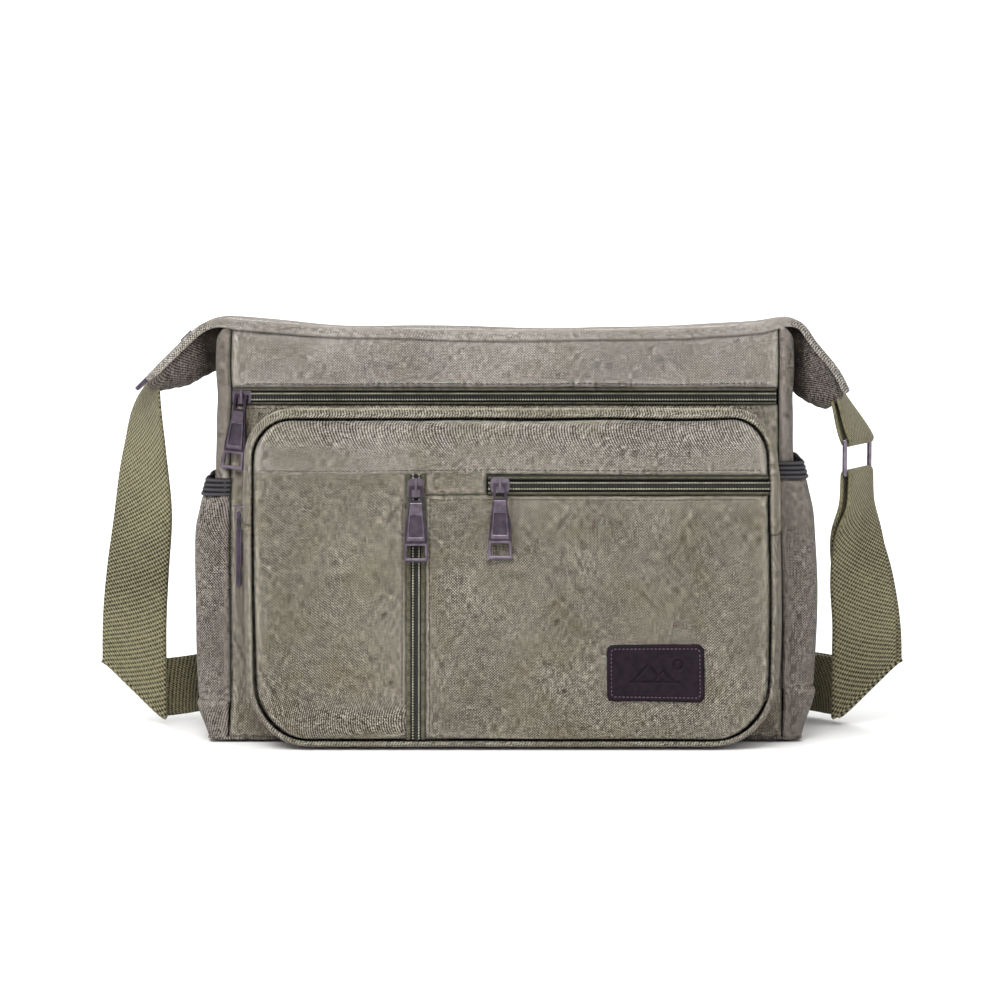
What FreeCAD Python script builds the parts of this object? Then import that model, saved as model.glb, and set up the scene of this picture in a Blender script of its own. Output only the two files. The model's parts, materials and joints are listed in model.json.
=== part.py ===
"""Canvas messenger bag: zipped body, boxed front pocket, two side pockets, wing ears and webbing strap.

Frame: +X to the wearer's left (right hand side seen from the front), -Y is the front, +Z up.
The origin is the middle of the flat base, on the surface that the bag stands on. Millimetres.
"""
import FreeCAD, Part
import Sketcher
import math
import os
from FreeCAD import Placement, Rotation, Vector

X_AXIS = Vector(1, 0, 0)
Y_AXIS = Vector(0, 1, 0)
Z_AXIS = Vector(0, 0, 1)

# Driving dimensions: alias, value in mm (or degrees), what it is.
DIMENSIONS = [
    ("body_height", 232.0, "height of the front panel up to the top band seam"),
    ("base_depth", 90.0, "front to back at the base, without the boxed pocket"),
    ("top_depth", 54.0, "front to back at the top band"),
    ("seam_base", 160.0, "half width between the front corner seams at the base"),
    ("seam_top", 157.0, "half width between the front corner seams at the top"),
    ("gusset_base", 171.0, "half width over the side gussets at the base"),
    ("gusset_top", 166.0, "half width over the side gussets at the top"),
    ("canvas", 2.2, "canvas, padding and lining together"),
    ("skin", 1.4, "single canvas layer with its lining"),
    ("clearance", 0.3, "gap between neighbouring soft pieces"),
    ("front_zip_height", 199.6, "height of the front zip along the panel"),
    ("zip_slot", 9.6, "width of a zip opening"),
    ("chain_width", 6.4, "both coils of a closed zip"),
    ("chain_thick", 1.8, "coil thickness"),
    ("chain_gap", 1.3, "gap between the stringers, for the slider's post"),
    ("tape_reach", 9.0, "zip tape from the middle to its edge"),
    ("tape_thick", 0.6, "zip tape thickness"),
    ("box_left", 149.0, "boxed pocket, left wall"),
    ("box_right", 156.0, "boxed pocket, right wall"),
    ("box_top", 192.5, "boxed pocket, top wall"),
    ("box_bottom", 1.0, "boxed pocket, bottom wall above the base"),
    ("box_round_top", 27.0, "boxed pocket, radius of the top corners"),
    ("box_round_base", 38.0, "boxed pocket, radius of the bottom corners"),
    ("box_depth_base", 30.0, "boxed pocket, depth at the bottom"),
    ("box_depth_top", 18.0, "boxed pocket, depth at the top"),
    ("yoke_seam", 157.0, "height of the yoke seam along the pocket face"),
    ("vertical_zip_x", -51.0, "place of the vertical zip"),
    ("flat_zip_height", 151.0, "height of the horizontal zip along the pocket face"),
    ("side_pocket_out", 178.5, "half width over the side pockets"),
    ("pull_length", 42.5, "zip pull, pivot to its end"),
    ("pull_thick", 1.8, "zip pull thickness"),
    ("slider_long", 11.0, "slider body along the zip"),
    ("slider_wide", 8.8, "slider body across the zip"),
    ("plate_thick", 1.0, "slider plates"),
    ("pivot_out", 2.6, "pull pivot in front of the slider's front plate"),
    ("strap_width", 38.0, "webbing width"),
    ("strap_thick", 1.6, "webbing thickness"),
    ("wire", 2.8, "wire of the strap ring"),
    ("ring_drop", 19.0, "strap ring, bar to bar"),
    ("ring_span", 41.4, "strap ring, leg to leg"),
    ("ring_turn", 64.0, "turn of the strap ring from facing the front, degrees"),
]

doc = FreeCAD.newDocument("messenger_bag")
sheet = doc.addObject("Spreadsheet::Sheet", "dimensions")


def fill_sheet():
    """One row per driving dimension: alias, value, meaning."""
    for row, (alias, amount, meaning) in enumerate(DIMENSIONS, start=1):
        sheet.set(f"A{row}", alias)
        sheet.set(f"B{row}", str(amount))
        sheet.set(f"C{row}", meaning)
        sheet.setAlias(f"B{row}", alias)
    doc.recompute()


def size(alias):
    """A driving dimension as a number."""
    return float(sheet.get(alias))


fill_sheet()
NODES = []

BODY_TILT = math.degrees(math.atan((size("base_depth") - size("top_depth")) / 2 / size("body_height")))
FACE_BASE = -size("base_depth") / 2 - size("box_depth_base")
FACE_RISE = (size("base_depth") - size("top_depth")) / 2 / size("body_height")
FACE_RISE += (size("box_depth_base") - size("box_depth_top")) / size("box_top")
FACE_TILT = math.degrees(math.atan(FACE_RISE))


def body_plane(offset=0.0):
    """Placement on the front panel's outer surface, moved in by offset."""
    return Placement(Vector(0, -size("base_depth") / 2 + offset, 0), Rotation(X_AXIS, -BODY_TILT))


def back_plane(offset=0.0):
    """Placement on the back panel's outer surface, moved in by offset and facing backwards."""
    turned = Rotation(Z_AXIS, 180).multiply(Rotation(X_AXIS, -BODY_TILT))
    return Placement(Vector(0, size("base_depth") / 2 - offset, 0), turned)


def face_plane(offset=0.0):
    """Placement on the boxed pocket's face, moved in by offset."""
    return Placement(Vector(0, FACE_BASE + offset, 0), Rotation(X_AXIS, -FACE_TILT))


def new_body(label, where=Placement()):
    """A PartDesign body that becomes one node."""
    body = doc.addObject("PartDesign::Body", label)
    body.Label = label
    body.AllowCompound = True
    body.Placement = where
    NODES.append(body)
    return body


def plane_of(body, role):
    """One of the body's own origin planes."""
    return [plane for plane in body.Origin.OriginFeatures if plane.Role == role][0]


def outline(body, role, loops, name="outline"):
    """Sketch of closed polygons. Each corner is a pair of expressions or numbers."""
    sketch = body.newObject("Sketcher::SketchObject", f"{body.Label}_{name}")
    sketch.AttachmentSupport = [(plane_of(body, role), "")]
    sketch.MapMode = "FlatFace"
    for loop in loops:
        add_loop(sketch, loop)
    doc.recompute()
    return sketch


def add_loop(sketch, corners):
    """A closed run of lines, with every corner held by two distances bound to the sheet."""
    count = len(corners)
    first = sketch.GeometryCount
    spots = [Vector(50 * math.cos(2 * math.pi * k / count), 50 * math.sin(2 * math.pi * k / count), 0)
             for k in range(count)]
    for k in range(count):
        sketch.addGeometry(Part.LineSegment(spots[k], spots[(k + 1) % count]))
    for k in range(count):
        sketch.addConstraint(Sketcher.Constraint("Coincident", first + k, 2, first + (k + 1) % count, 1))
    for k, corner in enumerate(corners):
        held_by = (("DistanceX", spots[k].x, corner[0]), ("DistanceY", spots[k].y, corner[1]))
        for kind, spot, amount in held_by:
            if isinstance(amount, str):
                held = sketch.addConstraint(Sketcher.Constraint(kind, -1, 1, first + k, 1, spot))
                sketch.setExpression(f"Constraints[{held}]", amount)
            else:
                sketch.addConstraint(Sketcher.Constraint(kind, -1, 1, first + k, 1, float(amount)))


def pad(body, sketch, length, both_ways=False, back=False):
    """Pad bound to an expression or a number."""
    feature = body.newObject("PartDesign::Pad", f"{body.Label}_pad")
    feature.Profile = sketch
    feature.Midplane = both_ways
    feature.Reversed = back
    if isinstance(length, str):
        feature.setExpression("Length", length)
    else:
        feature.Length = length
    doc.recompute()
    return feature


def pocket(body, sketch):
    """Cut right through, both ways."""
    before = body.Shape.Volume
    feature = body.newObject("PartDesign::Pocket", f"{body.Label}_pocket")
    feature.Profile = sketch
    feature.Type = 1
    feature.Midplane = True
    doc.recompute()
    if body.Shape.Volume > before - 0.01:
        raise RuntimeError(f"{body.Label}: the pocket cuts nothing")
    return feature


def round_edges(body, base, radius, spots, along):
    """Fillet the edges that run along one axis and pass the given spots of the other two."""
    names = []
    for number, edge in enumerate(base.Shape.Edges, start=1):
        start, end = edge.firstVertex().Point, edge.lastVertex().Point
        run = end.sub(start)
        if abs(run.dot(along)) < run.Length - 0.01 or run.Length < 0.2:
            continue
        flat = start.sub(along * start.dot(along))
        if any(flat.distanceToPoint(spot) < 0.6 for spot in spots):
            names.append(f"Edge{number}")
    feature = body.newObject("PartDesign::Fillet", f"{body.Label}_round")
    feature.Base = (base, names)
    feature.setExpression("Radius", radius)
    doc.recompute()
    return feature


def plate(label, corners, thickness, where):
    """A flat panel: an outline seen from the front, as thick as given, standing in front of its plane."""
    body = new_body(label, where)
    sketch = outline(body, "XZ_Plane", [corners])
    pad(body, sketch, thickness)
    return body


def bent_band(label, path, thick, y_ranges):
    """Strip that follows a path seen from the front, hanging below it, over one or more ranges of Y."""
    corners = list(path) + list(reversed(offset_path(path, thick)))
    solids = []
    for low, high in y_ranges:
        face = Part.Face(Part.makePolygon([Vector(x, low, z) for x, z in corners + corners[:1]]))
        solids.append(face.extrude(Vector(0, high - low, 0)))
    return shape_node(label, Part.makeCompound(solids) if len(solids) > 1 else solids[0])


def offset_path(path, distance):
    """The same run of points moved sideways, mitred at each corner, to the right hand of its direction."""
    moved = []
    for k, (x, z) in enumerate(path):
        before = path[max(k - 1, 0)]
        after = path[min(k + 1, len(path) - 1)]
        ways = []
        for start, end in ((before, (x, z)), ((x, z), after)):
            run = math.hypot(end[0] - start[0], end[1] - start[1])
            if run > 0:
                ways.append(((end[1] - start[1]) / run, -(end[0] - start[0]) / run))
        mean = (sum(way[0] for way in ways) / len(ways), sum(way[1] for way in ways) / len(ways))
        stretch = distance / (mean[0] ** 2 + mean[1] ** 2)
        moved.append((x + mean[0] * stretch, z + mean[1] * stretch))
    return moved


def shape_node(label, shape, where=Placement()):
    """A node whose shape is made directly from sizes read from the sheet."""
    feature = doc.addObject("Part::Feature", label)
    feature.Label = label
    feature.Shape = shape
    feature.Placement = where
    NODES.append(feature)
    return feature


# ---------------------------------------------------------------- body shell

def front_corners(low, high):
    """A stretch of the front or back panel between two heights, as wide as the corner seams allow."""
    def half(height):
        share = f"({height}) / dimensions.body_height"
        return f"dimensions.seam_base - (dimensions.seam_base - dimensions.seam_top) * {share}"
    return [(f"-({half(low)})", low), (half(low), low), (half(high), high), (f"-({half(high)})", high)]


ZIP_LOW = "dimensions.front_zip_height - dimensions.zip_slot / 2"
ZIP_HIGH = "dimensions.front_zip_height + dimensions.zip_slot / 2"
PANEL_FOOT = "dimensions.canvas + dimensions.clearance"


def body_panels():
    """Front and back panels, each split by its zip opening."""
    thick = "dimensions.canvas"
    for side, plane in (("front", body_plane), ("back", back_plane)):
        where = plane(size("canvas"))
        plate(f"{side}_panel", front_corners(PANEL_FOOT, ZIP_LOW), thick, where)
        plate(f"{side}_panel_top", front_corners(ZIP_HIGH, "dimensions.body_height"), thick, where)


GUSSET_CHAMFER = 6.5
GUSSET_SHORT = 18.0


def gusset_profile(side, seam, out, half_deep):
    """Channel seen from above: the side wall and the returns that turn the corners to the seams."""
    thick = size("canvas")
    chamfer = GUSSET_CHAMFER
    outer = [(seam, -half_deep), (out - chamfer, -half_deep), (out, -half_deep + chamfer),
             (out, half_deep - chamfer), (out - chamfer, half_deep), (seam, half_deep)]
    inner = [(seam, half_deep - thick), (out - chamfer - 1, half_deep - thick),
             (out - thick, half_deep - chamfer - 1), (out - thick, -half_deep + chamfer + 1),
             (out - chamfer - 1, -half_deep + thick), (seam, -half_deep + thick)]
    return [(side * x, y) for x, y in outer + inner]


def side_gussets():
    """The two side walls, which narrow towards the top."""
    height = size("body_height") - GUSSET_SHORT
    foot = size("canvas") + size("clearance")
    for name, side in (("left", -1), ("right", 1)):
        wires = []
        for level in (foot, height):
            share = level / size("body_height")
            wide = size("gusset_base") + (size("gusset_top") - size("gusset_base")) * share
            deep = (size("base_depth") + (size("top_depth") - size("base_depth")) * share) / 2
            seam = size("seam_base") + (size("seam_top") - size("seam_base")) * share + size("clearance")
            corners = [Vector(x, y, level) for x, y in gusset_profile(side, seam, wide, deep)]
            wires.append(Part.makePolygon(corners + corners[:1]))
        shape_node(f"side_gusset_{name}", Part.makeLoft(wires, True, True))


BOARD_THICK = 2.0


def base():
    """The canvas base, and the stiff board that lies on it inside."""
    body = new_body("base_panel")
    wide = "dimensions.gusset_base"
    deep = "dimensions.base_depth / 2"
    corners = [(f"-{wide}", f"-{deep}"), (wide, f"-{deep}"), (wide, deep), (f"-{wide}", deep)]
    layer = pad(body, outline(body, "XY_Plane", [corners]), "dimensions.canvas")
    half_wide, half_deep = size("gusset_base"), size("base_depth") / 2
    spots = [Vector(x, y, 0) for x in (-half_wide, half_wide) for y in (-half_deep, half_deep)]
    round_edges(body, layer, "8 mm", spots, Z_AXIS)
    board = new_body("base_board", Placement(Vector(0, 0, size("canvas") + size("clearance")), Rotation()))
    wide = "dimensions.seam_base - 6"
    deep = "dimensions.base_depth / 2 - 7"
    corners = [(f"-({wide})", f"-({deep})"), (wide, f"-({deep})"), (wide, deep), (f"-({wide})", deep)]
    pad(board, outline(board, "XY_Plane", [corners]), BOARD_THICK)


INNER_POCKET = [(-90, 95), (90, 95), (90, 185), (-90, 185)]
INNER_POCKET_GAP = 4.5


def lining():
    """Slip pocket hung inside the main compartment from the back panel."""
    where = back_plane(size("canvas") + INNER_POCKET_GAP)
    plate("inner_pocket", INNER_POCKET, "dimensions.skin", where)


# ---------------------------------------------------------------- top band and ears

LEFT_EAR = [(-204.8, 209.2), (-178.8, 234.7), (-170.5, 241.0), (-160.0, 242.0)]
TOP_RUN = [(-140.0, 240.0), (-60.0, 236.6), (60.0, 236.2), (140.0, 239.0)]
RIGHT_EAR = [(162.0, 241.5), (170.5, 239.0), (190.0, 214.5), (197.5, 201.0)]
TOP_PATH = LEFT_EAR + TOP_RUN + RIGHT_EAR
LEFT_UNDERSIDE = [(-205.5, 205.5), (-198.0, 203.0), (-184.0, 207.0), (-167.5, 217.0)]
RIGHT_UNDERSIDE = [(168.3, 206.5), (174.0, 200.0), (181.0, 195.5), (190.0, 193.0)]
TOP_INSET = 2.5
EAR_INSET = 3.0


def top_band():
    """Front and back halves of the top, either side of the main zip, running out into the ears."""
    near = size("zip_slot") / 2
    far = size("top_depth") / 2 - TOP_INSET
    bent_band("top_band_front", TOP_PATH, size("canvas"), [(-far, -near)])
    bent_band("top_band_back", TOP_PATH, size("canvas"), [(near, far)])


def ears():
    """Undersides of the ears, carried out from the side gussets to the ends of the top band."""
    far = size("top_depth") / 2 - EAR_INSET
    bent_band("ear_left", LEFT_UNDERSIDE, size("skin"), [(-far, far)])
    bent_band("ear_right", RIGHT_UNDERSIDE, size("skin"), [(-far, far)])


# ---------------------------------------------------------------- side pockets

SIDE_POCKETS = (("left", -1, 24.0, 141.0), ("right", 1, 31.0, 151.0))
POCKET_RISE, POCKET_DROP, MOUTH_INSET = 5.0, 12.0, 2.0
POCKET_SIDE_INSET = 5.0
ELASTIC_THICK, ELASTIC_TALL, ELASTIC_GAP = 2.4, 10.0, 0.2
ELASTIC_INSET = 0.8


def side_pockets():
    """Slip pockets on the side walls, open at the top, each with an elastic edge."""
    out = size("side_pocket_out")
    thick = size("skin")
    half = size("base_depth") / 2 - POCKET_SIDE_INSET
    for name, side, low, top in SIDE_POCKETS:
        inner = size("gusset_base") + size("clearance")
        rise, drop, mouth = low + POCKET_RISE, top - POCKET_DROP, out - MOUTH_INSET
        outer = [(inner, low), (out, rise), (out, drop), (mouth, top)]
        wall = outer + [(mouth - thick, top), (out - thick, drop), (out - thick, rise + thick),
                        (inner, low + thick)]
        corners = [Vector(side * x, -half, z) for x, z in wall]
        face = Part.Face(Part.makePolygon(corners + corners[:1]))
        front = [Vector(side * x, -half, z) for x, z in outer + [(inner, top)]]
        end = Part.Face(Part.makePolygon(front + front[:1])).extrude(Vector(0, thick, 0))
        far_end = end.translated(Vector(0, 2 * half - thick, 0))
        taper = pocket_taper(side, half, top)
        shell = face.extrude(Vector(0, 2 * half, 0)).fuse([end, far_end]).common(taper).removeSplitter()
        shape_node(f"side_pocket_{name}", shell)
        deep = 0.95 * mouth_half(top)
        near = out - ELASTIC_INSET - ELASTIC_THICK if side > 0 else -out + ELASTIC_INSET
        edge = Part.makeBox(ELASTIC_THICK, 2 * deep, ELASTIC_TALL, Vector(near, -deep, top + ELASTIC_GAP))
        shape_node(f"pocket_elastic_{name}", edge)


def mouth_half(level):
    """Half the depth of the side wall at a height, less the corner."""
    share = level / size("body_height")
    return (size("base_depth") + (size("top_depth") - size("base_depth")) * share) / 2 - POCKET_SIDE_INSET


def pocket_taper(side, half, top):
    """Wedge that narrows a side pocket along with the wall behind it."""
    upper = mouth_half(top)
    corners = [Vector(0, -half, 0), Vector(0, half, 0),
               Vector(0, upper, top + 2), Vector(0, -upper, top + 2)]
    return Part.Face(Part.makePolygon(corners + corners[:1])).extrude(Vector(side * 200, 0, 0))


# ---------------------------------------------------------------- boxed front pocket

def front_line(height, share):
    """Y at a height, from the body's front (share 0) to the boxed pocket's face (share 1)."""
    near = -size("base_depth") / 2 + math.tan(math.radians(BODY_TILT)) * height
    far = FACE_BASE + math.tan(math.radians(FACE_TILT)) * height
    return near + (far - near) * share


def rounded_run(inset, low, high):
    """Outline of the boxed pocket moved in by inset, between two heights, as one closed wire at Y = 0."""
    left, right = -size("box_left") + inset, size("box_right") - inset
    top, bottom = size("box_top") - inset, size("box_bottom") + inset
    box = Part.makeBox(right - left, 1, top - bottom, Vector(left, 0, bottom))
    for radius, level in ((size("box_round_top"), top), (size("box_round_base"), bottom)):
        edges = [edge for edge in box.Edges
                 if abs(edge.Length - 1) < 1e-6 and abs(edge.firstVertex().Z - level) < 1e-6]
        box = box.makeFillet(radius - inset, edges)
    return box.common(Part.makeBox(400, 1, high - low, Vector(-200, 0, low)))


def gusset_ring(label, low, high, shares, thick=None):
    """Wall of the boxed pocket between two heights, over given shares of its depth."""
    thick = thick or size("skin")
    solids = []
    for near, far in shares:
        ring = rounded_run(0.0, low, high).cut(rounded_run(thick, low, high))
        stretched = stretch_y(ring, 80.0)
        corners = [Vector(-200, front_line(level, share), level)
                   for level, share in ((-5, near), (-5, far), (220, far), (220, near))]
        wedge = Part.Face(Part.makePolygon(corners + corners[:1])).extrude(Vector(400, 0, 0))
        solids.extend(stretched.common(wedge).Solids)
    return shape_node(label, Part.makeCompound(solids) if len(solids) > 1 else solids[0])


def stretch_y(shape, depth):
    """The one millimetre thick outline made deep enough to cut the wedge from."""
    grown = FreeCAD.Matrix()
    grown.scale(1, depth, 1)
    return shape.transformGeometry(grown).translated(Vector(0, -depth, 0))


BOX_SPLIT = 125.0
TAPE_LOW, TAPE_HIGH = 0.28, 0.72


def boxed_gusset():
    """Gusset around the boxed pocket: plain below, and split by its zip from the sides over the top."""
    top = size("box_top") + 5
    gusset_ring("pocket_gusset_lower", -2.0, BOX_SPLIT, [(0.02, 0.91)])
    gusset_ring("pocket_gusset_rear", BOX_SPLIT + 0.4, top, [(0.02, TAPE_LOW)])
    gusset_ring("pocket_gusset_front", BOX_SPLIT + 0.4, top, [(TAPE_HIGH, 0.90)])
    gusset_ring("pocket_zip_chain", BOX_SPLIT + 0.4, top, [(0.35, 0.468), (0.532, 0.65)],
                thick=size("chain_thick"))


FACE_STRETCH = 1.008
SLOT_LEFT, SLOT_RIGHT, SLOT_PLAY = -10.0, 150.5, 0.3
END_TAB = [(-41, 147), (-11, 147), (-11, 155), (-41, 155)]
PATCH_LEFT, PATCH_RIGHT, PATCH_LOW, PATCH_HIGH = 57.2, 113.8, 27.5, 60.5
PATCH_THICK, TAB_THICK, ON_FACE = 1.4, 1.0, 0.2


def boxed_face():
    """Yoke, left panel and right panel of the boxed pocket's face, and the short tab beside the flat zip."""
    where = face_plane(size("skin"))
    thick = "dimensions.skin"
    left, right = "-dimensions.box_left", "dimensions.box_right"
    seam, foot = "dimensions.yoke_seam", "dimensions.box_bottom"
    top_along = f"dimensions.box_top * {FACE_STRETCH}"
    yoke = plate("pocket_yoke", [(left, f"{seam} + 0.4"), (right, f"{seam} + 0.4"),
                                 (right, top_along), (left, top_along)], thick, where)
    tops = [Vector(x, 0, size("box_top") * FACE_STRETCH) for x in (-size("box_left"), size("box_right"))]
    round_edges(yoke, yoke.Tip, "dimensions.box_round_top", tops, Y_AXIS)
    slot = "dimensions.zip_slot / 2"
    near, far = f"dimensions.vertical_zip_x - {slot}", f"dimensions.vertical_zip_x + {slot}"
    corners = [(left, foot), (near, foot), (near, seam), (left, seam)]
    panel = plate("pocket_left_panel", corners, thick, where)
    foot_spot = [Vector(-size("box_left"), 0, size("box_bottom"))]
    round_edges(panel, panel.Tip, "dimensions.box_round_base", foot_spot, Y_AXIS)
    zip_low = f"dimensions.flat_zip_height - {slot}"
    zip_high = f"dimensions.flat_zip_height + {slot}"
    corners = [(far, foot), (right, foot), (right, seam), (SLOT_RIGHT, seam), (SLOT_RIGHT, zip_low),
               (SLOT_LEFT, zip_low), (SLOT_LEFT, seam), (far, seam)]
    panel = plate("pocket_right_panel", corners, thick, where)
    foot_spot = [Vector(size("box_right"), 0, size("box_bottom"))]
    round_edges(panel, panel.Tip, "dimensions.box_round_base", foot_spot, Y_AXIS)
    welt_left, welt_right = SLOT_LEFT + SLOT_PLAY, SLOT_RIGHT - SLOT_PLAY
    corners = [(welt_left, zip_high), (welt_right, zip_high), (welt_right, seam), (welt_left, seam)]
    plate("pocket_zip_welt", corners, thick, where)
    plate("zip_end_tab", END_TAB, TAB_THICK, face_plane(-ON_FACE))
    leather_patch()


def leather_patch():
    """Leather patch sewn on the right panel, with its corners rounded."""
    corners = [(PATCH_LEFT, PATCH_LOW), (PATCH_RIGHT, PATCH_LOW), (PATCH_RIGHT, PATCH_HIGH),
               (PATCH_LEFT, PATCH_HIGH)]
    patch = plate("leather_patch", corners, PATCH_THICK, face_plane(-ON_FACE))
    spots = [Vector(x, 0, z) for x, z in corners]
    round_edges(patch, patch.Tip, "3 mm", spots, Y_AXIS)


# ---------------------------------------------------------------- zips

def stringer_loops():
    """Section of both stringers of a closed zip, across it: tapes behind, coils in front."""
    gap, reach = "dimensions.chain_gap / 2", "dimensions.tape_reach"
    coil, tape, deep = "dimensions.chain_width / 2", "dimensions.tape_thick", "dimensions.chain_thick"
    loops = []
    for sign in ("", "-"):
        loops.append([(0, f"{sign}({gap})"), (f"{tape} + {deep}", f"{sign}({gap})"),
                      (f"{tape} + {deep}", f"{sign}({coil})"), (tape, f"{sign}({coil})"),
                      (tape, f"{sign}({reach})"), (0, f"{sign}({reach})")])
    return loops


def straight_chain(label, length, where):
    """Closed zip along the node's own X axis, middle at the origin, coils towards -Y."""
    body = new_body(label, where)
    loops = [[(f"-({depth})" if depth else 0, across) for depth, across in loop]
             for loop in stringer_loops()]
    pad(body, outline(body, "YZ_Plane", loops), length, both_ways=True)


def slider(label, where, upright=False):
    """Zip slider: plates in front of and behind the coils, joined by a post, with an arch for the pull.

    It runs along the node's own X axis, with the front towards -Y, as the chain does.
    The arch crosses the zip, or follows it where the slider is upright.
    """
    long, wide, thick = size("slider_long"), size("slider_wide"), size("plate_thick")
    front = -(size("tape_thick") + size("chain_thick") + size("clearance"))
    back = size("clearance")
    plates = [Part.makeBox(long, thick, wide, Vector(-long / 2, front - thick, -wide / 2)),
              Part.makeBox(long, thick, wide, Vector(-long / 2, back, -wide / 2))]
    corners = [edge for edge in plates[0].Edges if abs(edge.Length - thick) < 1e-6]
    plates[0] = plates[0].makeFillet(2.5, corners)
    post_thick = size("chain_gap") - 0.5
    post = Part.makeBox(3.0, back - front, post_thick, Vector(-long / 2 + 1, front, -post_thick / 2))
    arch = arch_shape(front - thick)
    if upright:
        arch.rotate(Vector(), Y_AXIS, 90)
    shape_node(label, plates[0].fuse([plates[1], post, arch]).removeSplitter(), where)


def pivot_depth():
    """Y of the pull's pivot in a slider's own frame."""
    return -(size("tape_thick") + size("chain_thick") + size("clearance") + size("plate_thick")
             + size("pivot_out"))


ARCH_WIDE, ARCH_REACH = 1.4, 4.3
ARCH_FOOT, ARCH_BAR = 1.3, 1.0
ARCH_ROOM = 1.6


def arch_shape(plate_front):
    """Arch over the pull's bar: two feet on the front plate and a bar across them."""
    inner = pivot_depth() - ARCH_ROOM
    tall = plate_front - inner
    feet = [Part.makeBox(ARCH_WIDE, tall, ARCH_FOOT, Vector(-ARCH_WIDE / 2, inner, level))
            for level in (-ARCH_REACH, ARCH_REACH - ARCH_FOOT)]
    corner = Vector(-ARCH_WIDE / 2, inner - ARCH_BAR, -ARCH_REACH)
    return Part.makeBox(ARCH_WIDE, ARCH_BAR, 2 * ARCH_REACH, corner).fuse(feet)


def pull(label, where):
    """Zip pull hanging from its pivot bar at the origin: an eye, a tapered shank and a window."""
    body = new_body(label, where)
    end = "-dimensions.pull_length"
    shape = [(-3.9, 1.0), (3.9, 1.0), (3.9, -9.0), (6.3, -26.0), (7.2, end), (-7.2, end), (-6.3, -26.0),
             (-3.9, -9.0)]
    solid = pad(body, outline(body, "XZ_Plane", [shape]), "dimensions.pull_thick", both_ways=True)
    ends = [Vector(x, 0, -size("pull_length")) for x in (-7.2, 7.2)]
    round_edges(body, solid, "1.5 mm", ends, Y_AXIS)
    eye = [(-2.5, -1.0), (2.5, -1.0), (2.5, -7.4), (-2.5, -7.4)]
    window = [(-4.9, -33.4), (4.9, -33.4), (5.2, -40.4), (-5.2, -40.4)]
    pocket(body, outline(body, "XZ_Plane", [eye, window], "holes"))


TAPE_BEHIND = 0.9


def zip_set(name, plane, middle, length, start, upright=False, turn=0.0, lean=0.0):
    """Straight zip in a panel: chain, slider and pull. Places are along the panel, from its foot."""
    def at(spot, depth=0.0):
        return plane.multiply(Placement(Vector(spot[0], depth, spot[1]), Rotation()))
    along = Placement(Vector(), Rotation(Y_AXIS, -90)) if upright else Placement()
    straight_chain(f"{name}_zip_chain", length, at(middle).multiply(along))
    slider(f"{name}_zip_slider", at(start).multiply(along), upright)
    hang = Rotation(Y_AXIS, lean).multiply(Rotation(Z_AXIS, turn))
    pull(f"{name}_zip_pull", at(start, pivot_depth()).multiply(Placement(Vector(), hang)))


BODY_ZIP_LENGTH = 308.0
FRONT_PULL_TURN, FRONT_PULL_LEAN = -22.0, 7.2


def panel_zips():
    """The zips in the body's front and back and in the boxed pocket's face."""
    high = size("front_zip_height")
    in_body = size("canvas") + TAPE_BEHIND
    in_face = size("skin") + TAPE_BEHIND
    zip_set("front", body_plane(in_body), (0, high), BODY_ZIP_LENGTH, (-152.0, high),
            turn=FRONT_PULL_TURN, lean=FRONT_PULL_LEAN)
    zip_set("back", back_plane(in_body), (0, high), BODY_ZIP_LENGTH, (-140.0, high))
    zip_x = size("vertical_zip_x")
    zip_set("vertical", face_plane(in_face), (zip_x, 79.0), 152, (zip_x, 149.5), upright=True)
    flat = size("flat_zip_height")
    zip_set("flat", face_plane(in_face), (70.2, flat), 158, (-3.0, flat))


def frame_of(along, outward):
    """Rotation whose X axis runs along a zip and whose -Y axis points out of it."""
    inward = outward * -1
    return Rotation(along, inward, along.cross(inward), "XYZ")


BOX_SLIDER_LEVEL = 133.0
BOX_SLIDER_STEP = 10.0


def box_zip():
    """Slider and pull of the zip around the boxed pocket, on the left wall."""
    level = BOX_SLIDER_LEVEL
    low, high = front_line(level, 0.5), front_line(level + BOX_SLIDER_STEP, 0.5)
    along = Vector(0, high - low, BOX_SLIDER_STEP).normalize()
    turned = frame_of(along, X_AXIS * -1)
    coil_front = size("tape_thick") + size("chain_thick")
    place = Placement(Vector(-size("box_left") + coil_front, low, level), turned)
    slider("pocket_zip_slider", place, upright=True)
    swing = Placement(Vector(0, pivot_depth(), 0), Rotation(Y_AXIS, 90))
    pull("pocket_zip_pull", place.multiply(swing))


MAIN_CHAIN_SUNK = 1.9
MAIN_SLIDER_ALONG = 29.5


def main_zip():
    """Zip along the top, from the left ear's tip over the bag to the right ear's tip."""
    near, far = size("chain_gap") / 2, size("chain_width") / 2
    rows = [(-far, -near), (near, far)]
    sunk = offset_path(TOP_PATH, MAIN_CHAIN_SUNK)
    bent_band("main_zip_chain", sunk, size("chain_thick"), rows)
    tip, shoulder = sunk[0], sunk[1]
    along = Vector(shoulder[0] - tip[0], 0, shoulder[1] - tip[1]).normalize()
    outward = Vector(-along.z, 0, along.x)
    spot = Vector(tip[0], 0, tip[1]) + along * MAIN_SLIDER_ALONG
    place = Placement(spot - outward * (size("tape_thick") + size("chain_thick")), frame_of(along, outward))
    slider("main_zip_slider", place, upright=True)
    swing = Placement(Vector(0, pivot_depth(), 0), Rotation(Y_AXIS, 90))
    pull("main_zip_pull", place.multiply(swing))


# ---------------------------------------------------------------- strap

RING_BAR = Vector(206.5, 0, 172.0)


def ring_frame(offset=Vector()):
    """Placement of the strap ring's own frame: X along its bars, origin on its top bar."""
    turned = Rotation(Z_AXIS, size("ring_turn"))
    return Placement(RING_BAR + turned.multVec(offset), turned)


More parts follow.
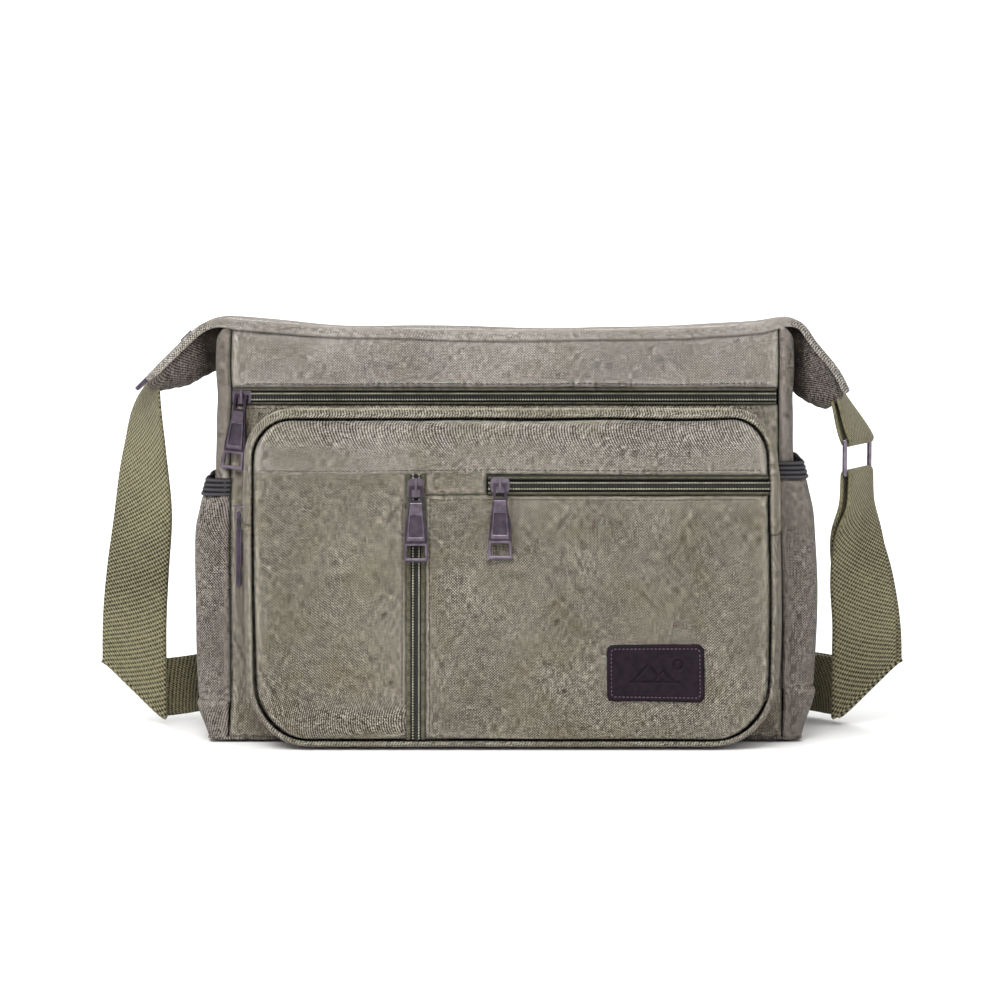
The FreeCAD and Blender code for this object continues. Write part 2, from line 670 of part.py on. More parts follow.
def strap_ring():
    """Rectangular wire ring between the ear's tab and the strap."""
    body = new_body("strap_ring", ring_frame(Vector(0, size("wire") / 2, 0)))
    half, wire = "dimensions.ring_span / 2", "dimensions.wire / 2"
    drop = "dimensions.ring_drop"
    outer = [(f"-({half} + {wire})", wire), (f"{half} + {wire}", wire),
             (f"{half} + {wire}", f"-({drop} + {wire})"), (f"-({half} + {wire})", f"-({drop} + {wire})")]
    inner = [(f"-({half} - {wire})", f"-({wire})"), (f"{half} - {wire}", f"-({wire})"),
             (f"{half} - {wire}", f"-({drop} - {wire})"), (f"-({half} - {wire})", f"-({drop} - {wire})")]
    ring = pad(body, outline(body, "XZ_Plane", [outer, inner]), "dimensions.wire")
    feature = body.newObject("PartDesign::Fillet", "strap_ring_round")
    feature.Base = (ring, [f"Edge{k + 1}" for k in range(len(ring.Shape.Edges))])
    feature.setExpression("Radius", "dimensions.wire * 0.42")


def webbing_loop(label, offset, length, lean):
    """Webbing folded round a bar of the ring, both layers running on for a length away from it."""
    turned = ring_frame(offset).multiply(Placement(Vector(), Rotation(X_AXIS, lean)))
    body = new_body(label, turned)
    inner = size("wire") / 2 + 0.35
    outer = inner + size("strap_thick")
    way = 1 if length > 0 else -1
    loop = [(-outer, length), (-inner, length), (-inner, -way * inner), (inner, -way * inner),
            (inner, length), (outer, length), (outer, -way * outer), (-outer, -way * outer)]
    pad(body, outline(body, "YZ_Plane", [loop]), "dimensions.strap_width - 1", both_ways=True)


def webbing(label, stations):
    """Webbing through stations: centre x, y, z and the turn of its width from facing the front."""
    wires = []
    for x, y, z, turn in stations:
        across = Vector(math.cos(math.radians(turn)), math.sin(math.radians(turn)), 0)
        through = Vector(-across.y, across.x, 0) * (size("strap_thick") / 2)
        half = across * (size("strap_width") / 2)
        centre = Vector(x, y, z)
        corners = [centre - half - through, centre + half - through,
                   centre + half + through, centre - half + through]
        wires.append(Part.makePolygon(corners + corners[:1]))
    shape_node(label, Part.makeLoft(wires, True, True))


STRAP_LEFT = [(-209.5, 0.0, 201.0, -63.0), (-211.5, 2.0, 166.0, -46.0), (-213.5, 6.0, 124.0, -22.0),
              (-219.5, 14.0, 66.0, -4.0)]
STRAP_RIGHT = [(208.7, -1.1, 136.5, 62.0), (208.0, 1.5, 116.0, 40.0), (210.0, 7.5, 88.0, 16.0),
               (213.0, 13.5, 55.0, 3.0)]
STRAP_RETURN = [(204.3, 1.1, 136.5, 62.0), (206.5, 4.8, 116.0, 36.0), (212.0, 12.5, 88.0, 14.0),
                (217.0, 18.5, 55.0, 3.0)]
STRAP_FOOT = 3.2


def upright_run(label, path, thick, foot, tall):
    """Webbing standing on its edge along a path seen from above."""
    body = new_body(label, Placement(Vector(0, 0, foot), Rotation()))
    corners = list(path) + list(reversed(offset_path(path, -thick)))
    pad(body, outline(body, "XY_Plane", [corners]), tall)


def fold(label, outer, inner, depth, level):
    """Diagonal fold where the hanging webbing turns to run along the ground, seen from the front."""
    body = new_body(label, Placement(Vector(0, depth, 0), Rotation()))
    slant = abs(outer - inner) - 3.0
    way = 1 if inner > outer else -1
    corners = [(outer, level), (outer, STRAP_FOOT + slant), (outer + way * slant, STRAP_FOOT),
               (inner, STRAP_FOOT), (inner, level)]
    pad(body, outline(body, "XZ_Plane", [corners]), "dimensions.strap_thick")


def strap():
    """The shoulder strap: hanging at both sides, folded at the ground and lying behind the bag."""
    webbing("strap_left_drop", STRAP_LEFT)
    webbing("strap_right_drop", STRAP_RIGHT)
    webbing("strap_return_drop", STRAP_RETURN)
    fold("strap_left_fold", -239.0, -201.0, 14.8, 64.5)
    fold("strap_right_fold", 232.0, 194.0, 14.3, 53.0)
    fold("strap_return_fold", 236.0, 198.0, 19.3, 53.0)
    tall = "dimensions.strap_width"
    inner_run = [(-216, 19.0), (-197, 23.0), (-176, 49.5), (177, 49.5), (193, 30.0), (208, 26.0)]
    outer_run = [(-95, 53.6), (179, 53.6), (197, 33.0), (213, 29.0)]
    upright_run("strap_back_run", inner_run, size("strap_thick"), STRAP_FOOT, tall)
    upright_run("strap_return_run", outer_run, size("strap_thick"), STRAP_FOOT, tall)


GLIDE_X = -150.0
GLIDE_BAR = 2.4
GLIDE_HALF = 15.0
GLIDE_POST = 3.0
GLIDE_INSIDE = 48.9
GLIDE_PIN = 1.5
GLIDE_PIN_Y = 53.7
GLIDE_REACH = 55.2
RAIL_GAP = 0.3
LOOP_INSIDE = 1.85
LOOP_OUTSIDE = 3.4
LOOP_LENGTH = 26.0


def tri_glide():
    """Adjuster on the strap behind the bag, and the strap's end sewn round its middle bar."""
    tall = size("strap_width")
    low = STRAP_FOOT - RAIL_GAP - GLIDE_BAR
    back = GLIDE_INSIDE - GLIDE_BAR
    left, deep = GLIDE_X - GLIDE_HALF, GLIDE_REACH - back
    rails = [Part.makeBox(2 * GLIDE_HALF, deep, GLIDE_BAR, Vector(left, back, level))
             for level in (low, STRAP_FOOT + tall + RAIL_GAP)]
    height = tall + 2 * GLIDE_BAR
    posts = [Part.makeBox(GLIDE_POST, GLIDE_BAR, height, Vector(GLIDE_X + x, back, low))
             for x in (-GLIDE_HALF, GLIDE_HALF - GLIDE_POST)]
    middle = Part.makeCylinder(GLIDE_PIN, height, Vector(GLIDE_X, GLIDE_PIN_Y, low))
    shape_node("tri_glide", rails[0].fuse([rails[1], middle] + posts).removeSplitter())
    loop = [(LOOP_LENGTH, GLIDE_PIN_Y + LOOP_OUTSIDE), (-LOOP_OUTSIDE, GLIDE_PIN_Y + LOOP_OUTSIDE),
            (-LOOP_OUTSIDE, GLIDE_PIN_Y - LOOP_INSIDE), (-LOOP_INSIDE, GLIDE_PIN_Y - LOOP_INSIDE),
            (-LOOP_INSIDE, GLIDE_PIN_Y + LOOP_INSIDE), (LOOP_LENGTH, GLIDE_PIN_Y + LOOP_INSIDE)]
    body = new_body("strap_end_loop", Placement(Vector(GLIDE_X, 0, STRAP_FOOT + 0.2), Rotation()))
    pad(body, outline(body, "XY_Plane", [loop]), "dimensions.strap_width - 0.4")


def build():
    """Make every node."""
    body_panels()
    side_gussets()
    base()
    lining()
    top_band()
    ears()
    side_pockets()
    boxed_gusset()
    boxed_face()
    panel_zips()
    box_zip()
    main_zip()
    strap_ring()
    webbing_loop("strap_tab", Vector(), 21.0, -25.0)
    webbing_loop("strap_ring_loop", Vector(0, 0, -size("ring_drop")), -14.5, 0.0)
    strap()
    tri_glide()
    doc.recompute()


def check_document():
    """Stop on any failed object or bad shape."""
    for item in doc.Objects:
        bad = [state for state in item.State if state in ("Invalid", "Error")]
        if bad:
            raise RuntimeError(f"{item.Label}: {bad}")
    for node in NODES:
        if node.Shape.isNull() or not node.Shape.isValid() or not node.Shape.Solids:
            raise RuntimeError(f"{node.Label}: bad shape")


def export():
    """One STEP file for each node."""
    os.makedirs("parts", exist_ok=True)
    for node in NODES:
        node.Shape.exportStep(f"parts/{node.Label}.step")
    print(f"{len(NODES)} nodes")


build()
check_document()
export()
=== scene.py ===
import json
import math

import bmesh
import bpy
import numpy as np
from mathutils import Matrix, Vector


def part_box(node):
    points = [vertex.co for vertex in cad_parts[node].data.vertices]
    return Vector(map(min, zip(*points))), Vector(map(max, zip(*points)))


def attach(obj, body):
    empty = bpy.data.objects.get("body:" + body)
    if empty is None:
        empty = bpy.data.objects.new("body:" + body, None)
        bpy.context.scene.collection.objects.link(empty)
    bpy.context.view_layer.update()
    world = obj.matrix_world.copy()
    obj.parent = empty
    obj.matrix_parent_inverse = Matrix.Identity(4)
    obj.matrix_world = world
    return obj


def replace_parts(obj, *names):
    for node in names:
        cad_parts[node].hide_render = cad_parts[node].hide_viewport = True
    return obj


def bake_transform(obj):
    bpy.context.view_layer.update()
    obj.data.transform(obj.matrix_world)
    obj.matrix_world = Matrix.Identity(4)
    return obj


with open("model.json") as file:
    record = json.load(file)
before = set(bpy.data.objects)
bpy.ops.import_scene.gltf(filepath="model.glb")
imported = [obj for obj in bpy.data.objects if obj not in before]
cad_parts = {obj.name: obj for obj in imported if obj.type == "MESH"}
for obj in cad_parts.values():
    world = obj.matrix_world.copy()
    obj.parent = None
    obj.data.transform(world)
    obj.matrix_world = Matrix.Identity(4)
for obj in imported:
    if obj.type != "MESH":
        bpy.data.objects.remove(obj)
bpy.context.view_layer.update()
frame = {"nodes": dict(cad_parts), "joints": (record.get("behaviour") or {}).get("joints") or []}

MM = 0.001
rng = np.random.default_rng(7)

CLOTH_THICK = 1.3
TURN_IN = 2.6
STITCH_PITCH, STITCH_LONG = 3.3, 2.3
# A stitch from end to end: share along it, share of its height, and thickness there.
STITCH_SHAPE = ((-0.5, 0.05, 0.35), (-0.25, 0.3, 0.95), (0.25, 0.3, 0.95), (0.5, 0.05, 0.35))
COIL_PITCH = 1.55
COIL_HALF, COIL_RISE, COIL_SUNK = 0.62, 0.75, 1.1
# A coil's loop from the middle outwards: distance, thickness and lift.
COIL_SHAPE = ((-0.5, 0.5, -0.2), (0.1, 1.0, 0.1), (1.7, 1.0, 0.0), (2.5, 0.5, -0.5))
COIL_SIDES = 6
COIL_THREAD_OUT = 1.75


# ------------------------------------------------------------------ places from the frame

def box_mm(node):
    """Lowest and highest corner of a CAD node, in millimetres."""
    low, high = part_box(node)
    return np.array(low) / MM, np.array(high) / MM


HALF_WIDE = box_mm("base_panel")[1][0]
HALF_DEEP = box_mm("base_panel")[1][1]
PANEL_TOP = box_mm("front_panel_top")[1][2]
GUSSET_TOP_WIDE, GUSSET_TOP_Z = 166.0, 214.0
SEAM_BASE, SEAM_TOP = 160.0, 157.0
BODY_RISE = 18.0 / 232.0
ZIP_Z = 199.0
SLOT = 4.8
WELT_OFF = 4.2
BODY_WELT_OFF = 4.0
BOX_LEFT, BOX_RIGHT = box_mm("pocket_gusset_lower")[0][0], box_mm("pocket_gusset_lower")[1][0]
BOX_TOP, BOX_LOW = box_mm("pocket_gusset_rear")[1][2], box_mm("pocket_gusset_lower")[0][2]
ROUND_TOP, ROUND_LOW = 27.0, 38.0
FACE_BASE = -HALF_DEEP - 30.0
FACE_RISE = BODY_RISE + 12.0 / 192.5
FACE_OUT = np.array((0, -math.cos(math.atan(FACE_RISE)), math.sin(math.atan(FACE_RISE))))
FACE_INSET = 5.6
FACE_FOOT = BOX_LOW + 5.0
YOKE_Z = 155.5
FLAT_ZIP_Z = 149.5
UPRIGHT_ZIP_X = -51.0
BOX_SPLIT_LEFT, BOX_SPLIT_RIGHT = 127.0, 122.0
TAB_END_X = -10.5
STRAP_WIDE, STRAP_THICK = 38.0, 1.7


def smooth(t):
    """Smooth step of t from 0 to 1."""
    t = np.clip(t, 0.0, 1.0)
    return t * t * (3 - 2 * t)


def through(xs, knots):
    """Smooth curve through given (x, value) knots, evaluated at xs, flat beyond the ends."""
    kx = np.array([k[0] for k in knots], float)
    kv = np.array([k[1] for k in knots], float)
    slope = np.gradient(kv, kx)
    secant = np.diff(kv) / np.diff(kx)
    for i in range(len(kx)):
        near = [secant[j] for j in (i - 1, i) if 0 <= j < len(secant)]
        if min(near) * max(near) <= 0:
            slope[i] = 0.0
        else:
            slope[i] = np.sign(near[0]) * min(abs(slope[i]), 2.5 * min(abs(s) for s in near))
    xs = np.clip(np.asarray(xs, float), kx[0], kx[-1])
    i = np.clip(np.searchsorted(kx, xs) - 1, 0, len(kx) - 2)
    step = kx[i + 1] - kx[i]
    t = (xs - kx[i]) / step
    return ((2 * t**3 - 3 * t**2 + 1) * kv[i] + (t**3 - 2 * t**2 + t) * step * slope[i]
            + (3 * t**2 - 2 * t**3) * kv[i + 1] + (t**3 - t**2) * step * slope[i + 1])


def unit(vectors):
    """Vectors brought to length one."""
    return vectors / np.maximum(np.linalg.norm(vectors, axis=-1, keepdims=True), 1e-9)


def lengths_along(points):
    """Distance of every point of a path from the first one, measured along it."""
    return np.concatenate([[0], np.cumsum(np.linalg.norm(np.diff(points, axis=0), axis=1))])


def at_lengths(where, run, values):
    """Values known along a path, read off at other distances along it."""
    return np.stack([np.interp(where, run, values[:, k]) for k in range(values.shape[1])], axis=1)


def column(rows, k):
    """The first and the k-th entry of each row, as knots for through()."""
    return [(row[0], row[k]) for row in rows]


def every(count, vector):
    """The same direction for each of a number of points."""
    return np.tile(vector, (count, 1))


# ------------------------------------------------------------------ soft unevenness of the cloth

WAVES = [(rng.normal(size=3), rng.uniform(0, 2 * math.pi, 3), rng.normal(size=3)) for _ in range(26)]


def zip_shelter(p):
    """0 on the zips and the floor, 1 away from them, so that the zips stay on their tracks."""
    front = np.abs(p[..., 2] - ZIP_Z) / 16
    upright = np.where(p[..., 1] < -45, np.abs(p[..., 0] - UPRIGHT_ZIP_X) / 18, 1)
    flat = np.where((p[..., 1] < -45) & (p[..., 0] > -20), np.abs(p[..., 2] - FLAT_ZIP_Z) / 16, 1)
    floor = p[..., 2] / 25
    top = np.where(np.abs(p[..., 1]) < 12, 0.15, 1)
    return smooth(np.minimum.reduce([front, upright, flat, floor, top]))


def sag(p, amount=1.0):
    """Moves points a little, the same way for neighbours, so that panels look like soft cloth."""
    moved = np.zeros_like(p)
    for k, (way, phase, push) in enumerate(WAVES):
        length = 50.0 + 5.0 * k
        wave = np.sin((p @ (way / np.linalg.norm(way))) * 2 * math.pi / length + phase[0])
        moved += wave[..., None] * push / np.linalg.norm(push) * (length / 120.0)
    return p + moved * (0.34 * amount * zip_shelter(p))[..., None]


# ------------------------------------------------------------------ mesh helpers

def add_object(name, data):
    """A new object in the scene."""
    obj = bpy.data.objects.new(name, data)
    bpy.context.scene.collection.objects.link(obj)
    return obj


def settle(obj, body="root"):
    """Says which body a piece rides on."""
    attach(obj, body)


def thicken(obj, thick, offset):
    """Gives a sheet its thickness, inwards with offset -1 and to both sides with offset 0."""
    shell = obj.modifiers.new("thickness", "SOLIDIFY")
    shell.thickness = thick * MM
    shell.offset = offset
    return shell


def make_object(name, verts, faces, material, smooth_faces=True, uvs=None, wear_and_shade=None):
    """A mesh object from millimetre points. uvs is one (u, v) in millimetres for each vertex."""
    mesh = bpy.data.meshes.new(name)
    mesh.from_pydata((np.asarray(verts) * MM).tolist(), [], [list(map(int, f)) for f in faces])
    mesh.materials.append(material)
    if uvs is not None:
        layer = mesh.uv_layers.new(name="UVMap")
        corner = np.empty(len(mesh.loops), dtype=np.int32)
        mesh.loops.foreach_get("vertex_index", corner)
        layer.data.foreach_set("uv", (np.asarray(uvs)[corner] * MM).astype(np.float32).ravel())
    if wear_and_shade is not None:
        attribute = mesh.attributes.new("wear_and_shade", "FLOAT", "POINT")
        attribute.data.foreach_set("value", np.asarray(wear_and_shade, np.float32).ravel())
    if smooth_faces:
        mesh.polygons.foreach_set("use_smooth", [True] * len(mesh.polygons))
    mesh.update()
    return add_object(name, mesh)


def spread(length, step):
    """Places from 0 to 1 along a length, closer together near both ends."""
    if length < 12:
        return np.linspace(0, 1, max(4, int(length / step) + 1))
    near = np.array([0.0, 0.5, 1.1, 1.9, 3.0]) / length
    middle = np.linspace(4.6 / length, 1 - 4.6 / length, max(2, int((length - 9) / step) + 1))
    return np.concatenate([near, middle, 1 - near[::-1]])


def grid_normals(p):
    """Outward normals of a grid of points, U along the first axis and V along the second."""
    du, dv = np.gradient(p, axis=0), np.gradient(p, axis=1)
    return unit(np.cross(du, dv))


def grid_lengths(p):
    """Distance along the grid in both ways, from its first row and column, and the full lengths."""
    su = np.linalg.norm(np.diff(p, axis=0), axis=-1)
    sv = np.linalg.norm(np.diff(p, axis=1), axis=-1)
    u = np.concatenate([np.zeros((1, p.shape[1])), np.cumsum(su, axis=0)])
    v = np.concatenate([np.zeros((p.shape[0], 1)), np.cumsum(sv, axis=1)], axis=1)
    return u, v


def grid_faces(nu, nv):
    """Quads of a grid, wound so that U x V points out."""
    return [(i * nv + k, (i + 1) * nv + k, (i + 1) * nv + k + 1, i * nv + k + 1)
            for i in range(nu - 1) for k in range(nv - 1)]


def ring_faces(start, rings, sides):
    """Faces of a closed bar made of rings of points, from the vertex at start, with both end caps."""
    faces = []
    for i in range(rings - 1):
        base = start + i * sides
        for k in range(sides):
            m = (k + 1) % sides
            faces.append((base + k, base + m, base + sides + m, base + sides + k))
    faces.append([start + k for k in range(sides)][::-1])
    faces.append([start + (rings - 1) * sides + k for k in range(sides)])
    return faces


def cloth(name, us, vs, place, material, turn=("u0", "u1", "v0", "v1"), deep=1.5, soft=1.0, grime=None):
    """A piece of cloth on a curved surface, with its edges turned in where it is sewn.

    place(U, V) gives the millimetre points of the grid. turn names the sewn edges. The last function of the
    points gives painted shade: it darkens the colour where shade falls, and lightens it where it is below 0.
    """
    grid_u, grid_v = np.meshgrid(us, vs, indexing="ij")
    p = place(grid_u, grid_v)
    u, v = grid_lengths(p)
    far = {"u0": u, "u1": u[-1:, :] - u, "v0": v, "v1": v[:, -1:] - v}
    edge = np.min([far[side] for side in turn], axis=0) if turn else np.full(u.shape, 50.0)
    normal = grid_normals(p)
    p = p - normal * (deep * (1 - smooth(edge / TURN_IN)))[..., None]
    p = sag(p, soft)
    # Paler in a band just in from each sewn edge, and darker right at the edge.
    wear_and_shade = np.exp(-(((edge - 2.2) / 1.7) ** 2)) - 0.9 * np.exp(-edge / 0.9)
    # Painted shade: a piece may take colour off where shade falls on it and add some where light falls.
    if grime is not None:
        wear_and_shade = wear_and_shade - grime(p)
    obj = make_object(name, p.reshape(-1, 3), grid_faces(len(us), len(vs)), material,
                      uvs=np.stack([u, v], axis=-1).reshape(-1, 2), wear_and_shade=wear_and_shade.ravel())
    thicken(obj, CLOTH_THICK, -1).use_quality_normals = True
    fine = obj.modifiers.new("smooth", "SUBSURF")
    fine.levels = fine.render_levels = 1
    settle(obj)
    return obj


def tube(name, path, radius, material, sides, flat, up):
    """Flattened bar along a path of points, closed at both ends."""
    count = len(path)
    ahead = unit(np.gradient(path, axis=0))
    side = unit(np.cross(ahead, np.broadcast_to(np.array(up, float), ahead.shape)))
    rise = np.cross(side, ahead)
    verts, uvs = [], []
    run = lengths_along(path)
    for i in range(count):
        for k in range(sides):
            angle = 2 * math.pi * k / sides
            verts.append(path[i] + side[i] * math.cos(angle) * radius
                         + rise[i] * math.sin(angle) * radius * flat)
            uvs.append((run[i], radius * angle))
    return make_object(name, verts, ring_faces(0, count, sides), material, uvs=uvs)


def stitch_line(name, points, normals, material, pitch=STITCH_PITCH, long=STITCH_LONG, wide=0.8, tall=0.45):
    """Sewing thread lying on cloth: a row of small raised stitches along a path."""
    run = lengths_along(points)
    centres = np.arange(pitch / 2, run[-1], pitch)
    at, out = at_lengths(centres, run, points), at_lengths(centres, run, normals)
    ahead = unit(at_lengths(centres + 0.5, run, points) - at_lengths(centres - 0.5, run, points))
    side = np.cross(out, ahead)
    verts, faces = [], []
    for c, o, a, s in zip(at, out, ahead, side):
        faces += ring_faces(len(verts), len(STITCH_SHAPE), 4)
        for along, height, size in STITCH_SHAPE:
            middle = c + a * along * long + o * (tall * height)
            for across, lift in ((-1, 0), (0, 1), (1, 0), (0, -1)):
                verts.append(middle + s * across * wide / 2 * size + o * lift * tall / 2 * size)
    obj = make_object(name, verts, faces, material)
    settle(obj)
    return obj


# ------------------------------------------------------------------ materials

class Shade:
    """A material with short calls for its nodes."""

    def __init__(self, name, **sockets):
        """Starts from a plain shader with some of its sockets set."""
        self.material = bpy.data.materials.new(name)
        self.material.use_nodes = True
        self.tree = self.material.node_tree
        self.shader = self.tree.nodes["Principled BSDF"]
        for socket, value in sockets.items():
            self.shader.inputs[socket.replace("_", " ")].default_value = value

    def put(self, socket, value):
        """Links a node output to a socket, or sets a number or colour on it."""
        if isinstance(value, bpy.types.NodeSocket):
            self.tree.links.new(value, socket)
        else:
            socket.default_value = value

    def node(self, kind, **sockets):
        """A new node with some of its sockets set; an underscore stands for a space."""
        new = self.tree.nodes.new(kind)
        for socket, value in sockets.items():
            self.put(new.inputs[socket.replace("_", " ")], value)
        return new

    def math(self, operation, a, b=0.0, c=0.0):
        """One step of arithmetic on up to three values."""
        new = self.tree.nodes.new("ShaderNodeMath")
        new.operation = operation
        for k, value in enumerate((a, b, c)):
            self.put(new.inputs[k], value)
        return new.outputs[0]

    def mix(self, share, a, b):
        """A colour between a and b."""
        new = self.tree.nodes.new("ShaderNodeMix")
        new.data_type = "RGBA"
        self.put(new.inputs[0], share)
        self.put(new.inputs[6], a)
        self.put(new.inputs[7], b)
        return new.outputs[2]

    def noise(self, where, scale, detail=2.0, rough=0.5):
        """Soft random values from about 0.2 to 0.8."""
        return self.node("ShaderNodeTexNoise", Vector=where, Scale=scale, Detail=detail,
                         Roughness=rough).outputs["Fac"]

    def ramp(self, value, low, high, out_low=0.0, out_high=1.0):
        """A smooth step of a value between two limits."""
        new = self.tree.nodes.new("ShaderNodeMapRange")
        new.interpolation_type = "SMOOTHSTEP"
        for k, v in enumerate((value, low, high, out_low, out_high)):
            self.put(new.inputs[k], v)
        return new.outputs[0]

    def stretched(self, where, along, across):
        """A place scaled differently in its two directions."""
        return self.node("ShaderNodeMapping", Vector=where, Scale=(along, across, 1.0)).outputs[0]

    def bump(self, height, distance, strength=1.0):
        """Relief of the surface, distance in metres."""
        new = self.node("ShaderNodeBump", Height=height, Distance=distance, Strength=strength)
        self.tree.links.new(new.outputs[0], self.shader.inputs["Normal"])

    def wear_and_shade(self):
        """How much the cloth is rubbed pale at a vertex, less the painted shade; below 0 where shade is
        painted into it.
        """
        new = self.node("ShaderNodeAttribute")
        new.attribute_name = "wear_and_shade"
        return new.outputs["Fac"]

    def colour(self, value):
        """Sets the base colour."""
        self.put(self.shader.inputs["Base Color"], value)

    def uv(self):
        """Place on the cloth, in metres along its threads."""
        return self.node("ShaderNodeTexCoord").outputs["UV"]

    def place(self):
        """Place in the object's own frame, in metres."""
        return self.node("ShaderNodeTexCoord").outputs["Object"]


def rgb(r, g, b):
    """A colour given in sRGB bytes, as the linear colour that sockets take."""
    linear = [(c / 255 / 12.92) if c < 11 else ((c / 255 + 0.055) / 1.055) ** 2.4 for c in (r, g, b)]
    return (*linear, 1.0)


def weave(s, where, pitch, wobble=0.00022):
    """Plain weave: thread crossings that rise one after another, with threads of uneven thickness."""
    drift = s.node("ShaderNodeTexNoise", Vector=where, Scale=90.0, Detail=2.0).outputs["Color"]
    drift = s.node("ShaderNodeVectorMath", Vector=drift)
    drift.operation = "SCALE"
    drift.inputs["Scale"].default_value = wobble
    moved = s.tree.nodes.new("ShaderNodeVectorMath")
    s.put(moved.inputs[0], where)
    s.put(moved.inputs[1], drift.outputs[0])
    parts = s.node("ShaderNodeSeparateXYZ", Vector=moved.outputs[0])
    turn = math.pi / pitch
    across = s.math("SINE", s.math("MULTIPLY", parts.outputs[0], turn))
    along = s.math("SINE", s.math("MULTIPLY", parts.outputs[1], turn))
    return s.math("MULTIPLY_ADD", s.math("MULTIPLY", across, along), 0.5, 0.5)


def canvas_material(name, dark, light, olive, level=0.25, pitch=0.0008, contrast=1.0):
    """Washed heavy cotton canvas: slubby yarns of two tones, faded patches, pale ridges rubbed by use, and
    painted shade where a piece is given it.
    """
    s = Shade(name, Roughness=0.92, Sheen_Weight=0.06, Sheen_Roughness=0.5, Specular_IOR_Level=0.15)
    uv, here = s.uv(), s.place()
    cells = weave(s, uv, pitch)
    weft = s.noise(s.stretched(uv, 260.0, 1500.0), 1.0, 2.0)
    warp = s.noise(s.stretched(uv, 1500.0, 200.0), 1.0, 2.0)
    yarns = s.math("ADD", weft, warp)
    tone = s.math("MULTIPLY_ADD", s.math("SUBTRACT", yarns, 1.0), 1.9 * contrast, level)
    tone = s.math("ADD", tone, s.math("MULTIPLY", s.math("SUBTRACT", cells, 0.5), 1.5 * contrast))
    specks = s.ramp(s.noise(uv, 1100.0, 1.0), 0.55, 0.72)
    tone = s.math("ADD", tone, s.math("MULTIPLY", specks, 0.5 * contrast))
    # The attribute read here holds the rubbed pale edges and the painted shade.
    tone = s.math("ADD", tone, s.math("MULTIPLY", s.wear_and_shade(), 0.28))
    tone = s.math("ADD", tone, s.ramp(s.noise(here, 22.0, 3.0), 0.3, 0.7, -0.07, 0.07))
    colour = s.mix(s.ramp(tone, -0.14, 1.09), dark, light)
    patches = s.ramp(s.noise(here, 34.0, 4.0, 0.6), 0.42, 0.68, 0.0, 0.5)
    s.colour(s.mix(patches, colour, s.mix(0.55, colour, olive)))
    fuzz = s.math("MULTIPLY", s.noise(uv, 2400.0, 1.0), 0.35)
    s.bump(s.math("ADD", s.math("ADD", cells, fuzz), s.math("MULTIPLY", yarns, 0.5)), 0.00034, 0.9)
    return s.material


def webbing_material():
    """Thick cotton webbing: fat crossings in a lozenge weave, olive, paler on top of each yarn."""
    s = Shade("webbing", Roughness=0.85, Sheen_Weight=0.06, Specular_IOR_Level=0.2)
    uv = s.uv()
    cells = weave(s, uv, 0.00135, 0.00015)
    yarn = s.noise(s.stretched(uv, 900.0, 300.0), 1.0, 2.0)
    tone = s.math("MULTIPLY_ADD", s.math("SUBTRACT", yarn, 0.5), 0.9, s.ramp(cells, 0.05, 0.95))
    tone = s.math("ADD", tone, s.ramp(s.noise(s.place(), 18.0, 3.0), 0.3, 0.7, -0.12, 0.12))
    s.colour(s.mix(s.ramp(tone, -0.15, 1.2), rgb(30, 27, 12), rgb(150, 144, 114)))
    s.bump(s.math("ADD", cells, s.math("MULTIPLY", s.noise(uv, 2000.0, 1.0), 0.25)), 0.0005, 1.0)
    return s.material


def tape_material(name, dark, light, pitch=0.0006):
    """Closely woven narrow cloth: zip tape, elastic or lining."""
    s = Shade(name, Roughness=0.8, Specular_IOR_Level=0.25)
    uv = s.uv()
    cells = weave(s, uv, pitch, 0.0001)
    worn_and_shaded = s.wear_and_shade()
    tone = s.math("MULTIPLY_ADD", s.noise(uv, 700.0, 2.0), 0.5, s.math("MULTIPLY", cells, 0.5))
    # The attribute read here holds the painted shade and painted highlight of the elastic's ribs.
    tone = s.math("ADD", tone, worn_and_shaded)
    s.colour(s.mix(s.ramp(tone, 0.15, 0.85), dark, light))
    s.bump(cells, 0.00025, 0.8)
    return s.material


def plain_material(name, dark, light, rough, scale=300.0, metallic=0.0, bump=0.00005):
    """Metal, coil plastic, board or thread: two close tones, uneven gloss and a fine grain."""
    s = Shade(name, Metallic=metallic)
    here = s.place()
    fine = s.noise(here, scale, 3.0)
    broad = s.noise(here, scale / 12, 2.0)
    s.colour(s.mix(s.ramp(s.math("ADD", fine, broad), 0.7, 1.3), dark, light))
    s.put(s.shader.inputs["Roughness"], s.ramp(broad, 0.25, 0.75, rough - 0.08, rough + 0.1))
    s.bump(fine, bump, 0.8)
    return s.material


def leather_material():
    """Dark plum leather with fine pores and a soft shine."""
    s = Shade("leather", Specular_IOR_Level=0.16)
    here = s.place()
    pores = s.node("ShaderNodeTexVoronoi", Vector=here, Scale=1500.0).outputs["Distance"]
    folds = s.noise(here, 260.0, 4.0, 0.6)
    s.colour(s.mix(s.ramp(folds, 0.3, 0.7), rgb(17, 9, 17), rgb(32, 20, 31)))
    s.put(s.shader.inputs["Roughness"], s.ramp(folds, 0.3, 0.7, 0.5, 0.66))
    s.bump(s.math("MULTIPLY_ADD", pores, 0.5, folds), 0.00018, 0.7)
    return s.material


CANVAS = canvas_material("canvas", rgb(30, 26, 18), rgb(196, 188, 172), rgb(96, 87, 60),
                         level=0.06, contrast=1.2)
# A lighter copy of the canvas for the pocket's yoke: painted light, as if the yoke tilted up to the light.
CANVAS_YOKE = canvas_material("canvas_yoke_lit", rgb(34, 30, 23), rgb(200, 193, 182), rgb(106, 98, 74),
                              level=0.18)
